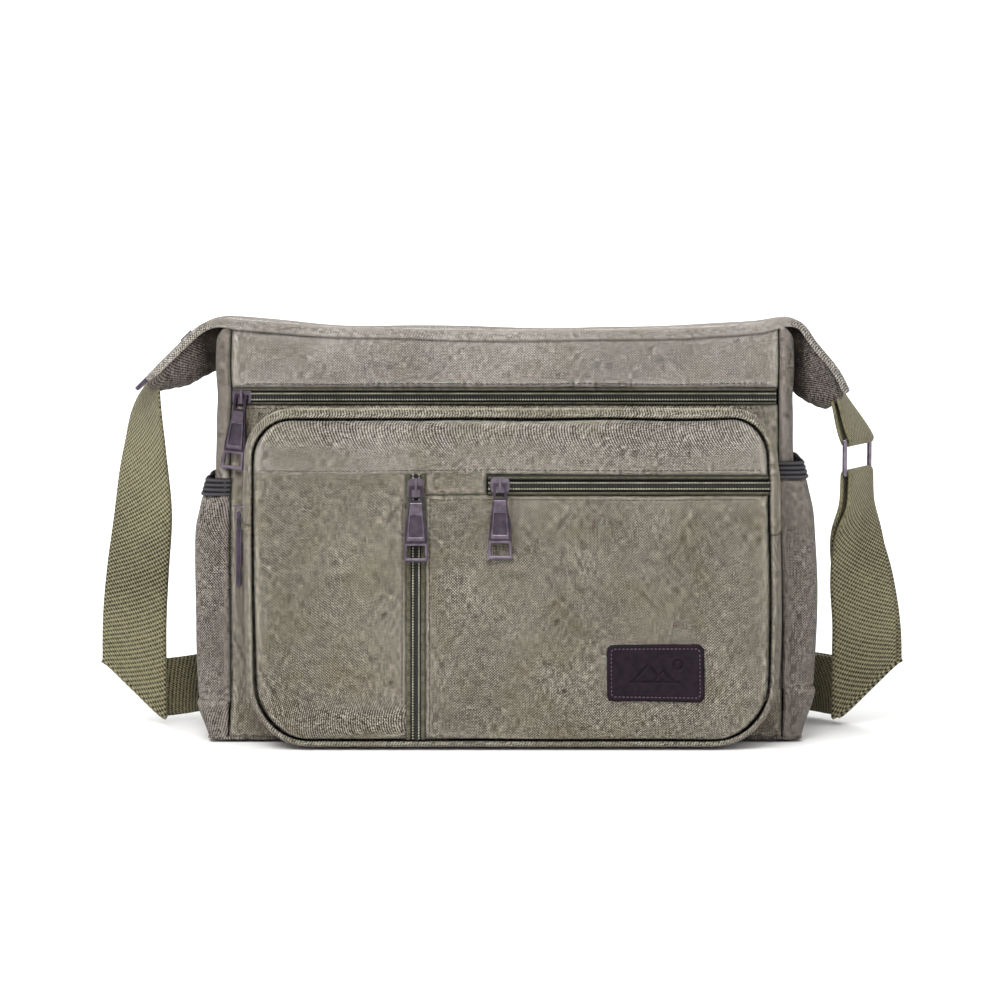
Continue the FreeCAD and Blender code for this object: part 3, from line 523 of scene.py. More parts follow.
# A lighter copy of the canvas for the upper panels and the rolled top edge: painted light, where the top of
# the bag faces the light from above.
CANVAS_PALE = canvas_material("canvas_top_lit", rgb(42, 37, 32), rgb(210, 203, 194), rgb(120, 110, 90),
                              level=0.22, contrast=0.9)
CANVAS_SIDE = canvas_material("canvas_side", rgb(28, 25, 20), rgb(172, 163, 154), rgb(84, 76, 60),
                              level=0.19, contrast=1.2)
CANVAS_EAR = canvas_material("canvas_ear", rgb(14, 12, 11), rgb(150, 140, 133), rgb(80, 70, 60), level=0.22)
WEBBING = webbing_material()
TAPE = tape_material("zip_tape", rgb(9, 9, 8), rgb(34, 34, 27))
WELT = canvas_material("zip_welt", rgb(32, 30, 20), rgb(140, 136, 118), rgb(80, 76, 54),
                       pitch=0.0007, contrast=0.7)
COIL = plain_material("zip_coil", rgb(12, 12, 11), rgb(36, 36, 31), 0.4, scale=900.0)
THREAD = plain_material("zip_thread", rgb(146, 142, 118), rgb(214, 210, 188), 0.8, scale=1500.0)
SEAM_THREAD = plain_material("seam_thread", rgb(24, 22, 15), rgb(50, 46, 33), 0.8, scale=1500.0)
METAL = plain_material("gunmetal", rgb(66, 58, 69), rgb(98, 89, 101), 0.24,
                       scale=240.0, metallic=0.92, bump=0.00001)
# A lighter copy of the gunmetal: painted highlight on the sliders, the ring, the adjuster and the raised
# frames and ridges of the pulls.
METAL_HIGHLIT = plain_material("gunmetal_highlit", rgb(108, 98, 109), rgb(142, 131, 143), 0.22,
                           scale=240.0, metallic=0.92, bump=0.00001)
METAL_DARK = plain_material("gunmetal_recess", rgb(62, 54, 65), rgb(84, 75, 87), 0.42,
                            scale=240.0, metallic=0.7, bump=0.00002)
ELASTIC = tape_material("elastic", rgb(14, 14, 16), rgb(74, 72, 76), 0.0008)
LEATHER = leather_material()
LEATHER_THREAD = plain_material("leather_thread", rgb(72, 56, 68), rgb(104, 84, 98), 0.7, scale=1500.0)
LINING = tape_material("lining", rgb(30, 30, 26), rgb(58, 57, 48), 0.0005)
BOARD = plain_material("board", rgb(60, 56, 48), rgb(84, 79, 68), 0.8)


# ------------------------------------------------------------------ the body shell

def body_y(z):
    """Front of the body at a height; the back is its mirror image."""
    return -HALF_DEEP + BODY_RISE * z


def face_y(z):
    """Front of the boxed pocket at a height."""
    return FACE_BASE + FACE_RISE * z


def seam_x(z):
    """Where the panels are sewn to the side walls at a height."""
    return SEAM_BASE + (SEAM_TOP - SEAM_BASE) * z / PANEL_TOP


def gusset_x(z):
    """The side walls' distance from the middle at a height."""
    return HALF_WIDE + (GUSSET_TOP_WIDE - HALF_WIDE) * z / GUSSET_TOP_Z


ROLL_SEAM = [(-160, 240.2), (-150, 237.2), (-120, 234.8), (-60, 233.0), (0, 232.2), (60, 232.6),
             (110, 233.8), (140, 235.2), (150, 236.4), (160, 238.2)]
BOTH_FACES = ((-1, "front"), (1, "back"))
BOTH_ENDS = ((-1, "left"), (1, "right"))


def body_panels():
    """Lower and upper panel of the front and of the back."""
    for side, word in BOTH_FACES:
        def place(u, v, low, high, puff):
            x = (u * 2 - 1) * seam_x(high) * -side
            rise = through(x, ROLL_SEAM) - PANEL_TOP if high > PANEL_TOP else 0.0
            z = low + (high + rise - low) * v
            x = (u * 2 - 1) * seam_x(z) * -side
            swell = puff * np.sin(math.pi * u) * np.sin(math.pi * v)
            return np.stack([x, -side * body_y(z) + side * swell, z], axis=-1)
        tops = {"panel": (2.0, ZIP_Z - SLOT, 1.5), "panel_top": (ZIP_Z + SLOT, PANEL_TOP + 1.0, 0.8)}
        for part, (low, high, puff) in tops.items():
            # The upper panels take the lighter copy of the canvas, which is painted light from above.
            piece = cloth(f"{word}_{part}_cloth", spread(2 * SEAM_TOP, 5.0), spread(high - low, 5.0),
                          lambda u, v: place(u, v, low, high, puff),
                          CANVAS if part == "panel" else CANVAS_PALE)
            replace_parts(piece, f"{word}_{part}")


LAP, BEND = 0.1, 0.1
SIDE_START, SIDE_END, BACK_LAP = 0.2, 0.8, 0.9
WRAP_PARTS = ((0, LAP, 5), (LAP, SIDE_START, 7), (SIDE_START, SIDE_END, 21), (SIDE_END, BACK_LAP, 7),
              (BACK_LAP, 1, 5))
WRAP_STEPS = np.concatenate([[0.0]] + [np.linspace(*part)[1:] for part in WRAP_PARTS])


def wrap(t, front_x, side_x, front_y, radius):
    """A side wall seen from above: from the front seam round both corners to the back seam."""
    arc = (t - LAP) / BEND * math.pi / 2
    late = (t - SIDE_END) / BEND * math.pi / 2
    flat_x = side_x - radius
    lap = t < LAP
    x = np.where(lap, front_x + (flat_x - front_x) * t / LAP, flat_x + radius * np.sin(arc))
    y = np.where(lap, front_y, front_y + radius * (1 - np.cos(arc)))
    run = (t - SIDE_START) / 0.6
    middle = (t >= SIDE_START) & (t <= SIDE_END)
    x = np.where(middle, side_x, x)
    y = np.where(middle, (front_y + radius) * (1 - 2 * run), y)
    x = np.where(t > SIDE_END, flat_x + radius * np.cos(late), x)
    y = np.where(t > SIDE_END, -(front_y + radius) + radius * np.sin(late), y)
    x = np.where(t > BACK_LAP, flat_x + (front_x - flat_x) * (t - BACK_LAP) / LAP, x)
    y = np.where(t > BACK_LAP, -front_y, y)
    return x, y


GUSSET_FOOT = 1.0
GUSSET_NOTCH = 206.0
POUCH_X, POUCH_CREASES = 177.8, 14
ELASTIC_X, ELASTIC_RIDGES = 176.2, 4
ELASTIC_LIFT, ELASTIC_TALL = 0.4, 10.6


def side_wall(name, side, rows, shape, material=CANVAS_SIDE, **more):
    """A wall round one end of the bag. shape(t, v) gives front_x, side_x, front_y, radius and z."""
    def place(u, v):
        t = u if side > 0 else 1 - u
        front_x, side_x, front_y, radius, z = shape(t, v)
        x, y = wrap(t, front_x, side_x, front_y, radius)
        return np.stack([x * side, y, z], axis=-1)
    return cloth(name, WRAP_STEPS, rows, place, material, **more)


def side_gusset(side, word):
    """A side wall, sunk a little between the ears and cut lower in its middle."""
    def gusset(t, v):
        edge = smooth(np.abs(t - 0.5) * 2 * 1.25 - 0.05)
        top = GUSSET_NOTCH + (PANEL_TOP + 9.0 - GUSSET_NOTCH) * edge
        z = GUSSET_FOOT + (top - GUSSET_FOOT) * v
        hollow = 2.4 * np.sin(math.pi * np.clip((t - SIDE_START) / 0.6, 0, 1)) * smooth((z - 120) / 60)
        fold = 1.2 * np.sin(z / 17.0 + 1.0) * smooth((z - 150) / 30)
        return seam_x(z) + 0.4, gusset_x(z) - hollow + fold * 0.4, body_y(z) - 0.6, 6.5, z
    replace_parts(side_wall(f"gusset_{word}", side, spread(236, 6.0), gusset), f"side_gusset_{word}")


def base_corner(side, word, high):
    """The base cloth turned up round one end, under the pouch."""
    def base_wrap(t, v):
        z = 0.9 + (high + 1.5 - 0.9) * v
        flare = smooth(z / high)
        return seam_x(z) + 0.2, HALF_WIDE + 1.0 + 7.2 * flare, body_y(z) - 1.0 - 1.2 * flare, 9.0, z
    side_wall(f"base_corner_{word}", side, spread(high, 4.0), base_wrap)


def mouth_creases(side, t):
    """Phase of the folds that the elastic gathers round the pouch."""
    return t * math.pi * POUCH_CREASES + 1.3 * side


def pouch(side, word, low, high):
    """A side pocket, full in its middle and gathered under its elastic."""
    def pocket(t, v):
        z = low - 0.5 + (high - low + 1.5) * v
        belly = 1.6 * np.sin(math.pi * v) - 3.2 * smooth((v - 0.82) / 0.18)
        crease = 1.3 * np.cos(mouth_creases(side, t) + 0.8 * np.sin(v * 5)) * smooth((v - 0.2) / 0.6)
        crease = crease + 0.9 * np.cos(t * math.pi * 9 - 1.0 + 1.6 * v) * smooth(1.1 - v)
        depth = crease * smooth(np.minimum(t, 1 - t) * 5)
        return seam_x(z) - 0.6, POUCH_X + belly + depth, body_y(z) - 2.3 - 0.5 * belly, 10.0, z
    piece = side_wall(f"pouch_{word}", side, spread(high - low, 4.0), pocket)
    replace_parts(piece, f"side_pocket_{word}")


def mouth_elastic(side, word, low):
    """The ribbed elastic along a side pocket's mouth, with painted shade in its grooves and painted highlight
    on its ridges.
    """
    def rib(v):
        return np.abs(np.sin(math.pi * ELASTIC_RIDGES * v))

    def elastic(t, v):
        z = low + ELASTIC_LIFT + ELASTIC_TALL * v
        ridge = 0.9 * rib(v) - 0.7
        x = ELASTIC_X - 3.0 * v + ridge + 0.5 * np.cos(mouth_creases(side, t)) * (1 - v)
        return seam_x(z) - 0.4, x, body_y(z) - 1.4 - ridge, 9.0, z

    # Painted shade in the grooves and painted highlight on the ridges, taken into the elastic's colour.
    def painted_rib_shading(p):
        return 0.55 - 0.95 * rib((p[..., 2] - low - ELASTIC_LIFT) / ELASTIC_TALL)
    piece = side_wall(f"elastic_{word}", side, np.linspace(0, 1, 49), elastic, ELASTIC, turn=(), soft=0.6,
                      grime=painted_rib_shading)
    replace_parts(piece, f"pocket_elastic_{word}")


def sides():
    """Both ends of the bag: side wall, base corner, pouch and elastic."""
    for side, word in BOTH_ENDS:
        low, high = (corner[2] for corner in box_mm(f"side_pocket_{word}"))
        side_gusset(side, word)
        base_corner(side, word, low)
        pouch(side, word, low, high)
        mouth_elastic(side, word, high)


def base():
    """Bottom cloth, lifted a little at its four corners."""
    def place(u, v):
        x = (u * 2 - 1) * (HALF_WIDE + 0.4)
        y = (1 - v * 2) * (HALF_DEEP + 0.6)
        corner = np.hypot(np.maximum(np.abs(x) - 164, 0), np.maximum(np.abs(y) - 38, 0))
        rise = 3.4 * smooth((corner - 2.0) / 8)
        return np.stack([x, y, 0.4 + rise], axis=-1)
    piece = cloth("base_cloth", spread(342, 8.0), spread(90, 6.0), place, CANVAS_SIDE, deep=-1.6, soft=0.0)
    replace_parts(piece, "base_panel")


# ------------------------------------------------------------------ top edge and its two ears

TOP_PATH = [(-207.4, 206.7), (-203, 211.0), (-190.6, 223.0), (-180, 233.2), (-174.5, 237.6), (-167, 241.0),
            (-158, 242.0), (-140, 240.6), (-100, 237.8), (-60, 236.6), (0, 235.8), (60, 236.2),
            (110, 237.4), (140, 239.0), (158, 241.2), (165, 241.4), (171, 238.6), (178, 228.5), (190, 214.0),
            (198, 200.6)]


def smooth_path(points, step):
    """Even points along a rounded curve through given points."""
    p = np.asarray(points, float)
    ends = np.vstack([2 * p[0] - p[1], p, 2 * p[-1] - p[-2]])
    dense = []
    for i in range(len(p) - 1):
        a, b, c, d = ends[i:i + 4]
        for t in np.linspace(0, 1, 24, endpoint=False):
            dense.append(0.5 * (2 * b + (c - a) * t + (2 * a - 5 * b + 4 * c - d) * t * t
                                + (3 * b - a - 3 * c + d) * t**3))
    dense.append(p[-1])
    dense = np.array(dense)
    run = lengths_along(dense)
    return at_lengths(np.linspace(0, run[-1], max(3, int(run[-1] / step) + 1)), run, dense)


def path_normals(path):
    """Upward normals of a path in the x, z plane."""
    ahead = unit(np.gradient(path, axis=0))
    return np.stack([-ahead[:, 1], ahead[:, 0]], axis=1)


# Sections of the rolled top edge: share of the way in, distance from the zip and height over the path.
BAND_SECTION = [(0.0, 28.6, -5.4), (0.1, 29.8, -3.6), (0.22, 30.2, -1.6), (0.36, 28.6, 0.3),
                (0.52, 23.5, 1.0), (0.75, 13.0, 0.7), (0.92, 6.4, 0.2), (1.0, 5.0, -0.4)]
EAR_SECTION = [(0.0, 21.6, -2.6), (0.1, 23.4, -2.3), (0.22, 24.6, -0.9), (0.36, 24.2, 1.0),
               (0.52, 20.5, 2.5), (0.75, 12.5, 2.8), (0.92, 6.4, 1.5), (1.0, 5.0, 0.2)]


def top_bands():
    """The two rolled bands that carry the top zip, from ear to ear."""
    path = smooth_path(TOP_PATH, 3.0)
    normal = path_normals(path)
    ear = smooth((np.abs(path[:, 0] + 3) - 150) / 20)
    us, vs = np.linspace(0, 1, len(path)), np.linspace(0, 1, 22)
    for side, word in BOTH_FACES:
        def place(u, v):
            i = np.clip((u * (len(path) - 1)).round().astype(int), 0, len(path) - 1)
            i = i if side < 0 else len(path) - 1 - i
            shares = ((1 - ear[i], BAND_SECTION), (ear[i], EAR_SECTION))
            deep, lift = (sum(share * through(v, column(section, k)) for share, section in shares)
                          for k in (1, 2))
            ends = 1 - 0.35 * smooth((np.abs(path[i, 0]) - 198) / 12)
            x, z = path[i, 0] + normal[i, 0] * lift, path[i, 1] + normal[i, 1] * lift
            return np.stack([x, side * deep * ends, z], axis=-1)
        # The rolled top edge takes the lighter copy of the canvas, which is painted light.
        piece = cloth(f"roll_{word}", us, vs, place, CANVAS_PALE, turn=("v0", "v1"), deep=0.8)
        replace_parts(piece, f"top_band_{word}")


EAR_SPAN = {"left": (-162.0, -208.0), "right": (162.0, 196.5)}
# How far out from the middle the painted shade in each ear's cavity reaches.
CAVITY_OUT = {"left": 181.0, "right": 178.0}
EAR_TOP = {"left": [(-209, 204.8), (-204, 209.0), (-192, 220.6), (-182, 230.4), (-174, 236.6), (-162, 240.4)],
           "right": [(162, 240.2), (168, 239.0), (174, 231.6), (180, 224.0), (188, 213.6), (197, 199.6)]}
EAR_LOW = {"left": [(-209, 203.8), (-205, 202.2), (-199, 201.2), (-183, 205.0), (-167, 213.8), (-162, 217)],
           "right": [(162, 206.0), (171, 198.0), (180, 192.0), (186, 190.4), (192, 192.8), (197, 197.0)]}
EAR_DEEP = {"left": [(-209, 18.0), (-200, 22.5), (-190, 22.0), (-178, 18.0), (-168, 17.0), (-162, 18.0)],
            "right": [(162, 18.0), (170, 18.5), (180, 22.5), (190, 22.0), (197, 17.0)]}


def ears():
    """Gathered pouches under both ends of the top edge, with painted shade beside the side walls, where the
    cavity lies in shadow.
    """
    for side, word in BOTH_ENDS:
        first, last = EAR_SPAN[word]

        def place(u, v):
            x = first + (last - first) * (u if side < 0 else 1 - u)
            top, low = through(x, EAR_TOP[word]), through(x, EAR_LOW[word])
            half = through(x, EAR_DEEP[word])
            angle = math.pi * v
            c, s = np.cos(angle), np.sin(angle)
            gather = 0.5 * np.sin(x * 1.15) * s + 0.9 * np.sin(x * 0.37 + 2 * v) * s
            y = -half * np.sign(c) * np.abs(c) ** 0.55
            z = top - (top - low) * s ** 0.75 - gather * 0.4
            y = y * (1 + 0.05 * gather)
            return np.stack([x, y, z], axis=-1)
        # Painted shade: darker towards the side wall, where the cavity under the rolled edge lies in shadow.
        piece = cloth(f"ear_{word}_cloth", np.linspace(0, 1, 60), np.linspace(0, 1, 44), place, CANVAS_EAR,
                      turn=(), soft=0.6,
                      grime=lambda p: 3.4 * smooth((CAVITY_OUT[word] - np.abs(p[..., 0])) / 11))
        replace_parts(piece, f"ear_{word}")


# ------------------------------------------------------------------ the boxed pocket

def ring_xz(s, inset):
    """Rounded outline of the boxed pocket, counter-clockwise from the front. s runs from 0 to 8."""
    left, right = BOX_LEFT + inset, BOX_RIGHT - inset
    low, top = BOX_LOW + np.minimum(inset, 5.0), BOX_TOP - inset
    rt, rb = ROUND_TOP - inset, ROUND_LOW - inset
    s = np.mod(s, 8.0)
    k = np.floor(s).astype(int)
    f = s - k
    turn = f * math.pi / 2
    c, n = np.cos(turn), np.sin(turn)
    xs = [right + 0 * f, right - rt + rt * c, right - rt + (left - right + 2 * rt) * f, left + rt - rt * n,
          left + 0 * f, left + rb - rb * c, left + rb + (right - left - 2 * rb) * f, right - rb + rb * n]
    zs = [low + rb + (top - rt - low - rb) * f, top - rt + rt * n, top + 0 * f, top - rt + rt * c,
          top - rt + (low + rb - top + rt) * f, low + rb - rb * n, low + 0 * f, low + rb - rb * c]
    return np.choose(k, xs), np.choose(k, zs)


SIDE_RUN = (BOX_TOP - ROUND_TOP) - (BOX_LOW + ROUND_LOW)
SPLIT_RIGHT = (BOX_SPLIT_RIGHT - BOX_LOW - ROUND_LOW) / SIDE_RUN
SPLIT_LEFT = 4 + (BOX_TOP - ROUND_TOP - BOX_SPLIT_LEFT) / SIDE_RUN


def ring_steps(start, stop, step=4.0):
    """Places along the outline, closer together in its corners."""
    lengths = np.array([SIDE_RUN, 42, 250, 42, SIDE_RUN, 60, 230, 60])
    out = []
    s = start
    while s < stop - 1e-6:
        out.append(s)
        s += (step * (0.55 if int(s) % 2 else 1.0)) / lengths[int(s) % 8]
    return np.array(out + [stop])


def ring_place(s, inset, share, forward=0.0):
    """A point of the pocket's side: share runs from the body (0) to the pocket's face (1)."""
    x, z = ring_xz(s, inset)
    flare = np.where(x > 0, 3.0, 1.2) * np.clip(1 - share, 0, 1)
    flare = flare * smooth((z - 20) / 40) * smooth((170 - z) / 20)
    x = x + np.sign(x) * flare * smooth((np.abs(x) - 130) / 15)
    y = body_y(z) + (face_y(z) - body_y(z)) * share - forward
    return np.stack([x, y, z], axis=-1)


# The wall's edge curling in to the face: share across the strip, inset and reach forward.
CURL = [(0.0, 0.3, 0.0), (0.25, -0.2, 0.0), (0.5, 0.6, 0.0), (0.68, 2.2, 1.0), (0.84, 4.2, 1.3),
        (1.0, 5.6, 0.2)]
WALL_LOW, WALL_ZIP_REAR, WALL_ZIP_FRONT, WALL_HIGH = 0.02, 0.28, 0.72, 0.93


def wall_strip(name, node, start, stop, low, high, curl):
    """A strip of the pocket's wall between two places round it and two shares of its depth."""
    def place(u, v):
        share = low + (high - low) * np.minimum(v / (0.5 if curl else 1.0), 1.0)
        inset = through(v, column(CURL, 1)) if curl else -0.4 * np.sin(math.pi * v)
        forward = through(v, column(CURL, 2)) if curl else 0 * v
        share = np.where((v > 0.5) & curl, high + (1.0 - high) * smooth((v - 0.5) / 0.2), share)
        return ring_place(u, inset, share, forward)
    piece = cloth(name, ring_steps(start, stop), np.linspace(0, 1, 22 if curl else 10), place, CANVAS,
                  turn=("v0", "v1"), deep=1.2, soft=0.8)
    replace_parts(piece, node)


def boxed_gusset():
    """The wall of the boxed pocket: one strip below, and one on each side of its zip."""
    wall_strip("box_gusset_lower", "pocket_gusset_lower", SPLIT_LEFT, 8 + SPLIT_RIGHT,
               WALL_LOW, WALL_HIGH, True)
    wall_strip("box_gusset_rear", "pocket_gusset_rear", SPLIT_RIGHT, SPLIT_LEFT,
               WALL_LOW, WALL_ZIP_REAR, False)
    wall_strip("box_gusset_front", "pocket_gusset_front", SPLIT_RIGHT, SPLIT_LEFT,
               WALL_ZIP_FRONT, WALL_HIGH, True)


def face_limits(z):
    """Left and right edge of the pocket's face at a height, round its corners."""
    left, right = BOX_LEFT + FACE_INSET, BOX_RIGHT - FACE_INSET
    low, top = FACE_FOOT, BOX_TOP - FACE_INSET
    rt, rb = ROUND_TOP - FACE_INSET, ROUND_LOW - FACE_INSET
    up, down = np.clip((z - (top - rt)) / rt, 0, 1), np.clip(((low + rb) - z) / rb, 0, 1)
    pull = rt * (1 - np.sqrt(1 - up**2)) + rb * (1 - np.sqrt(1 - down**2))
    return left + pull, right - pull


def face_panel(name, low, high, x_left=None, x_right=None, forward=0.0, puff=1.4, material=CANVAS, **more):
    """A panel of the pocket's face between two heights, cut off at x_left or x_right."""
    def place(u, v):
        z = low + (high - low) * v
        left, right = face_limits(z)
        left = left if x_left is None else 0 * z + x_left
        right = right if x_right is None else 0 * z + x_right
        x = left + (right - left) * u
        swell = puff * (np.sin(math.pi * u) * np.sin(math.pi * v)) ** 0.6
        return np.stack([x, face_y(z) - forward - swell, z], axis=-1)
    wide = (x_right if x_right is not None else BOX_RIGHT) - (x_left if x_left is not None else BOX_LEFT)
    return cloth(name, spread(wide, 4.5), spread(high - low, 4.5), place, material, **more)


def boxed_face():
    """The four cloth pieces of the pocket's face."""
    sewn = ("u0", "u1", "v0")
    beside = UPRIGHT_ZIP_X + SLOT
    under_yoke = YOKE_Z + 1.5
    pieces = {
        # The yoke takes the lighter copy of the canvas, which is painted light.
        "pocket_yoke": face_panel("yoke_cloth", YOKE_Z, BOX_TOP - FACE_INSET, forward=0.9, puff=1.0,
                                  material=CANVAS_YOKE),
        "pocket_left_panel": face_panel("left_cloth", FACE_FOOT, under_yoke, x_right=UPRIGHT_ZIP_X - SLOT,
                                        turn=sewn),
        "pocket_right_panel": face_panel("right_cloth", FACE_FOOT, FLAT_ZIP_Z - SLOT, x_left=beside),
        "zip_end_tab": face_panel("tab_cloth", FLAT_ZIP_Z - SLOT - 0.5, under_yoke, x_left=beside,
                                  x_right=TAB_END_X, forward=0.3, puff=0.4, turn=sewn)}
    for node, piece in pieces.items():
        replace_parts(piece, node)


# ------------------------------------------------------------------ zips

def coil_mesh(points, normals, ahead, across):
    """Two facing rows of coil loops along a zip."""
    run = lengths_along(points)
    verts, faces = [], []
    ring = [(math.cos(a), math.sin(a)) for a in np.linspace(0, 2 * math.pi, COIL_SIDES, endpoint=False)]
    for hand in (-1, 1):
        at = np.arange(COIL_PITCH / 2 + (COIL_PITCH / 2 if hand > 0 else 0), run[-1], COIL_PITCH)
        c, o = at_lengths(at, run, points), at_lengths(at, run, normals)
        a, s = at_lengths(at, run, ahead), at_lengths(at, run, across) * hand
        for i in range(len(at)):
            start = len(verts)
            for reach, size, lift in COIL_SHAPE:
                middle = c[i] + s[i] * reach + o[i] * (lift - COIL_SUNK)
                for q, w in ring:
                    verts.append(middle + a[i] * q * COIL_HALF * size + o[i] * w * COIL_RISE * size)
            loop = ring_faces(start, len(COIL_SHAPE), COIL_SIDES)
            faces.extend(face[::-1] if hand > 0 else face for face in loop)
    return verts, faces


def zip_track(name, p, n, node, tape_half=6.4, sunk=2.2):
    """A coil zip along points p with normals n: woven tape, coil and the thread that sews it down."""
    ahead = unit(np.gradient(p, axis=0))
    across = np.cross(n, ahead)
    vs = np.linspace(-1, 1, 9)
    verts = (p - n * sunk)[:, None] + across[:, None] * (vs * tape_half)[None, :, None]
    tape = make_object(f"{name}_tape", verts.reshape(-1, 3), grid_faces(len(p), len(vs)), TAPE,
                       uvs=np.stack(grid_lengths(verts), -1).reshape(-1, 2))
    thicken(tape, 0.6, 0)
    coil = make_object(f"{name}_coil", *coil_mesh(p, n, ahead, across), COIL)
    rows = [stitch_line(f"{name}_thread_{letter}", p + across * hand * COIL_THREAD_OUT - n * 0.3, n, THREAD,
                        pitch=COIL_PITCH, long=1.0, wide=1.0, tall=0.7)
            for letter, hand in (("a", -1), ("b", 1))]
    for piece in (tape, coil, *rows):
        settle(piece)
    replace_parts(coil, node)


def welt(name, points, up=(0, 0, 1)):
    """A thin folded strip along a zip opening."""
    settle(tube(name, points, 1.3, WELT, sides=8, flat=0.6, up=up))


def body_zips():
    """The long zips across the front and the back, each between two welts."""
    count = 100
    tilt = math.atan(BODY_RISE)
    for side, word in BOTH_FACES:
        xs = np.linspace(-seam_x(ZIP_Z) + 1.0, seam_x(ZIP_Z) - 1.0, count) * -side
        flat = np.stack([xs, 0 * xs - side * body_y(ZIP_Z), 0 * xs + ZIP_Z], axis=1)
        out = every(count, (0, side * math.cos(tilt), math.sin(tilt)))
        zip_track(f"{word}_zip", flat, out, f"{word}_zip_chain")
        for lift, hand in ((BODY_WELT_OFF, "upper"), (-BODY_WELT_OFF, "lower")):
            line = flat + np.array([0, -side * -BODY_RISE * lift, lift]) + out * -0.9
            welt(f"{word}_zip_{hand}_welt", line)


def face_zips():
    """The upright and the flat zip on the pocket's face."""
    count = 60
    zs = np.linspace(YOKE_Z + 1.0, 6.0, count)
    upright = np.stack([0 * zs + UPRIGHT_ZIP_X, face_y(zs), zs], axis=1)
    zip_track("upright_zip", upright, every(count, FACE_OUT), "vertical_zip_chain")
    for hand, move in (("left", -WELT_OFF), ("right", WELT_OFF)):
        welt(f"upright_zip_{hand}_welt", upright + np.array([move, 0, 0]) - FACE_OUT * 0.5, up=FACE_OUT)
    xs = np.linspace(TAB_END_X + 0.5, face_limits(FLAT_ZIP_Z)[1] + 0.5, count)
    flat = np.stack([xs, 0 * xs + face_y(FLAT_ZIP_Z), 0 * xs + FLAT_ZIP_Z], axis=1)
    zip_track("flat_zip", flat, every(count, FACE_OUT), "flat_zip_chain")
    for hand, lift in (("lower", -WELT_OFF), ("upper", WELT_OFF + 0.4)):
        welt(f"flat_zip_{hand}_welt", flat + np.array([0, lift * FACE_RISE, lift]) - FACE_OUT * 0.5)


def round_zips():
    """The zip round the boxed pocket and the one along the top edge."""
    middle = ring_place(ring_steps(SPLIT_RIGHT, SPLIT_LEFT), 0.0, 0.5)
    outward = unit(np.cross(unit(np.gradient(middle, axis=0)), np.array([0, -1.0, 0])))
    zip_track("box_zip", middle, outward, "pocket_zip_chain", tape_half=6.8)
    path = smooth_path(TOP_PATH, 3.0)
    normal = path_normals(path)
    keep = slice(2, len(path) - 2)
    main = np.stack([path[:, 0], 0 * path[:, 0], path[:, 1]], axis=1)[keep]
    up = np.stack([normal[:, 0], 0 * path[:, 0], normal[:, 1]], axis=1)[keep]
    zip_track("main_zip", main, up, "main_zip_chain", sunk=1.6)


# ------------------------------------------------------------------ the strap

SINK = 22.2
ACROSS = np.linspace(-STRAP_WIDE / 2, STRAP_WIDE / 2, 15)
RING_BAR = np.array([206.5, 0.0, 172.0])
RING_TURN = 64.0
TAB_TWIST = 15.0
TAB_LONG = 32.0
TAB_LEAN = math.radians(25)
TAB_GAP, TAB_TAPER = 2.6, 0.03

# Hanging parts, from the floor up: height, x, y and turn in degrees.
LEFT_DROP = [(SINK, -220.0, 14.0, 0.0), (45, -220.0, 14.0, -1.0), (66, -219.5, 13.6, -4.0),
             (95, -217.0, 10.5, -12.0), (124, -213.5, 6.0, -22.0), (166, -211.5, 2.0, -46.0),
             (196, -208.5, 0.0, -66.0), (205, -205.5, 0.0, -76.0)]
RIGHT_DROP = [(SINK, 213.0, 13.5, 0.0), (40, 213.0, 13.5, 1.0), (55, 213.0, 13.0, 3.0),
              (88, 210.0, 7.5, 16.0), (116, 208.0, 1.5, 40.0), (136.5, 208.7, -1.1, RING_TURN - 2),
              (152, 208.7, -1.15, RING_TURN)]
RETURN_DROP = [(SINK, 217.0, 18.5, 0.0), (40, 217.0, 18.5, 1.0), (55, 216.6, 18.2, 3.0),
               (88, 212.0, 12.5, 14.0), (116, 206.5, 4.8, 36.0), (136.5, 204.3, 1.1, RING_TURN - 2),
               (152, 204.3, 1.15, RING_TURN)]

# Runs on the floor, from the fold to the back of the bag: x and y.
LEFT_RUN = [(-239, 16.4), (-216, 17.2), (-204, 19.6), (-190, 32.0), (-180, 44.5), (-168, 49.3),
            (0, 49.5), (150, 49.5)]
RIGHT_RUN = [(232, 15.9), (212, 16.4), (204, 19.0), (193, 30.0), (184, 42.0), (170, 49.3),
             (130, 49.5), (100, 49.5)]
RETURN_RUN = [(236, 20.9), (216, 21.4), (208, 24.0), (197, 34.0), (188, 46.0), (174, 53.2),
              (130, 53.6), (90, 53.6)]
RUN_END, RETURN_END = 150.0, 100.0
TAIL_RUN = [(100, 53.6), (40, 53.6), (-60, 53.6), (-110, 53.9), (-134, 55.6), (-150, 56.9),
            (-154.6, 54.6), (-150, 52.4), (-138, 51.9), (-124, 51.8)]


def drop_rows(stations, u, z):
    """Points of the hanging part: stations are (z, x, y, turn in degrees)."""
    x, y = through(z, column(stations, 1)), through(z, column(stations, 2))
    turn = np.radians(through(z, column(stations, 3)))
    return np.stack([x + u * np.cos(turn), y + u * np.sin(turn), z], axis=-1)


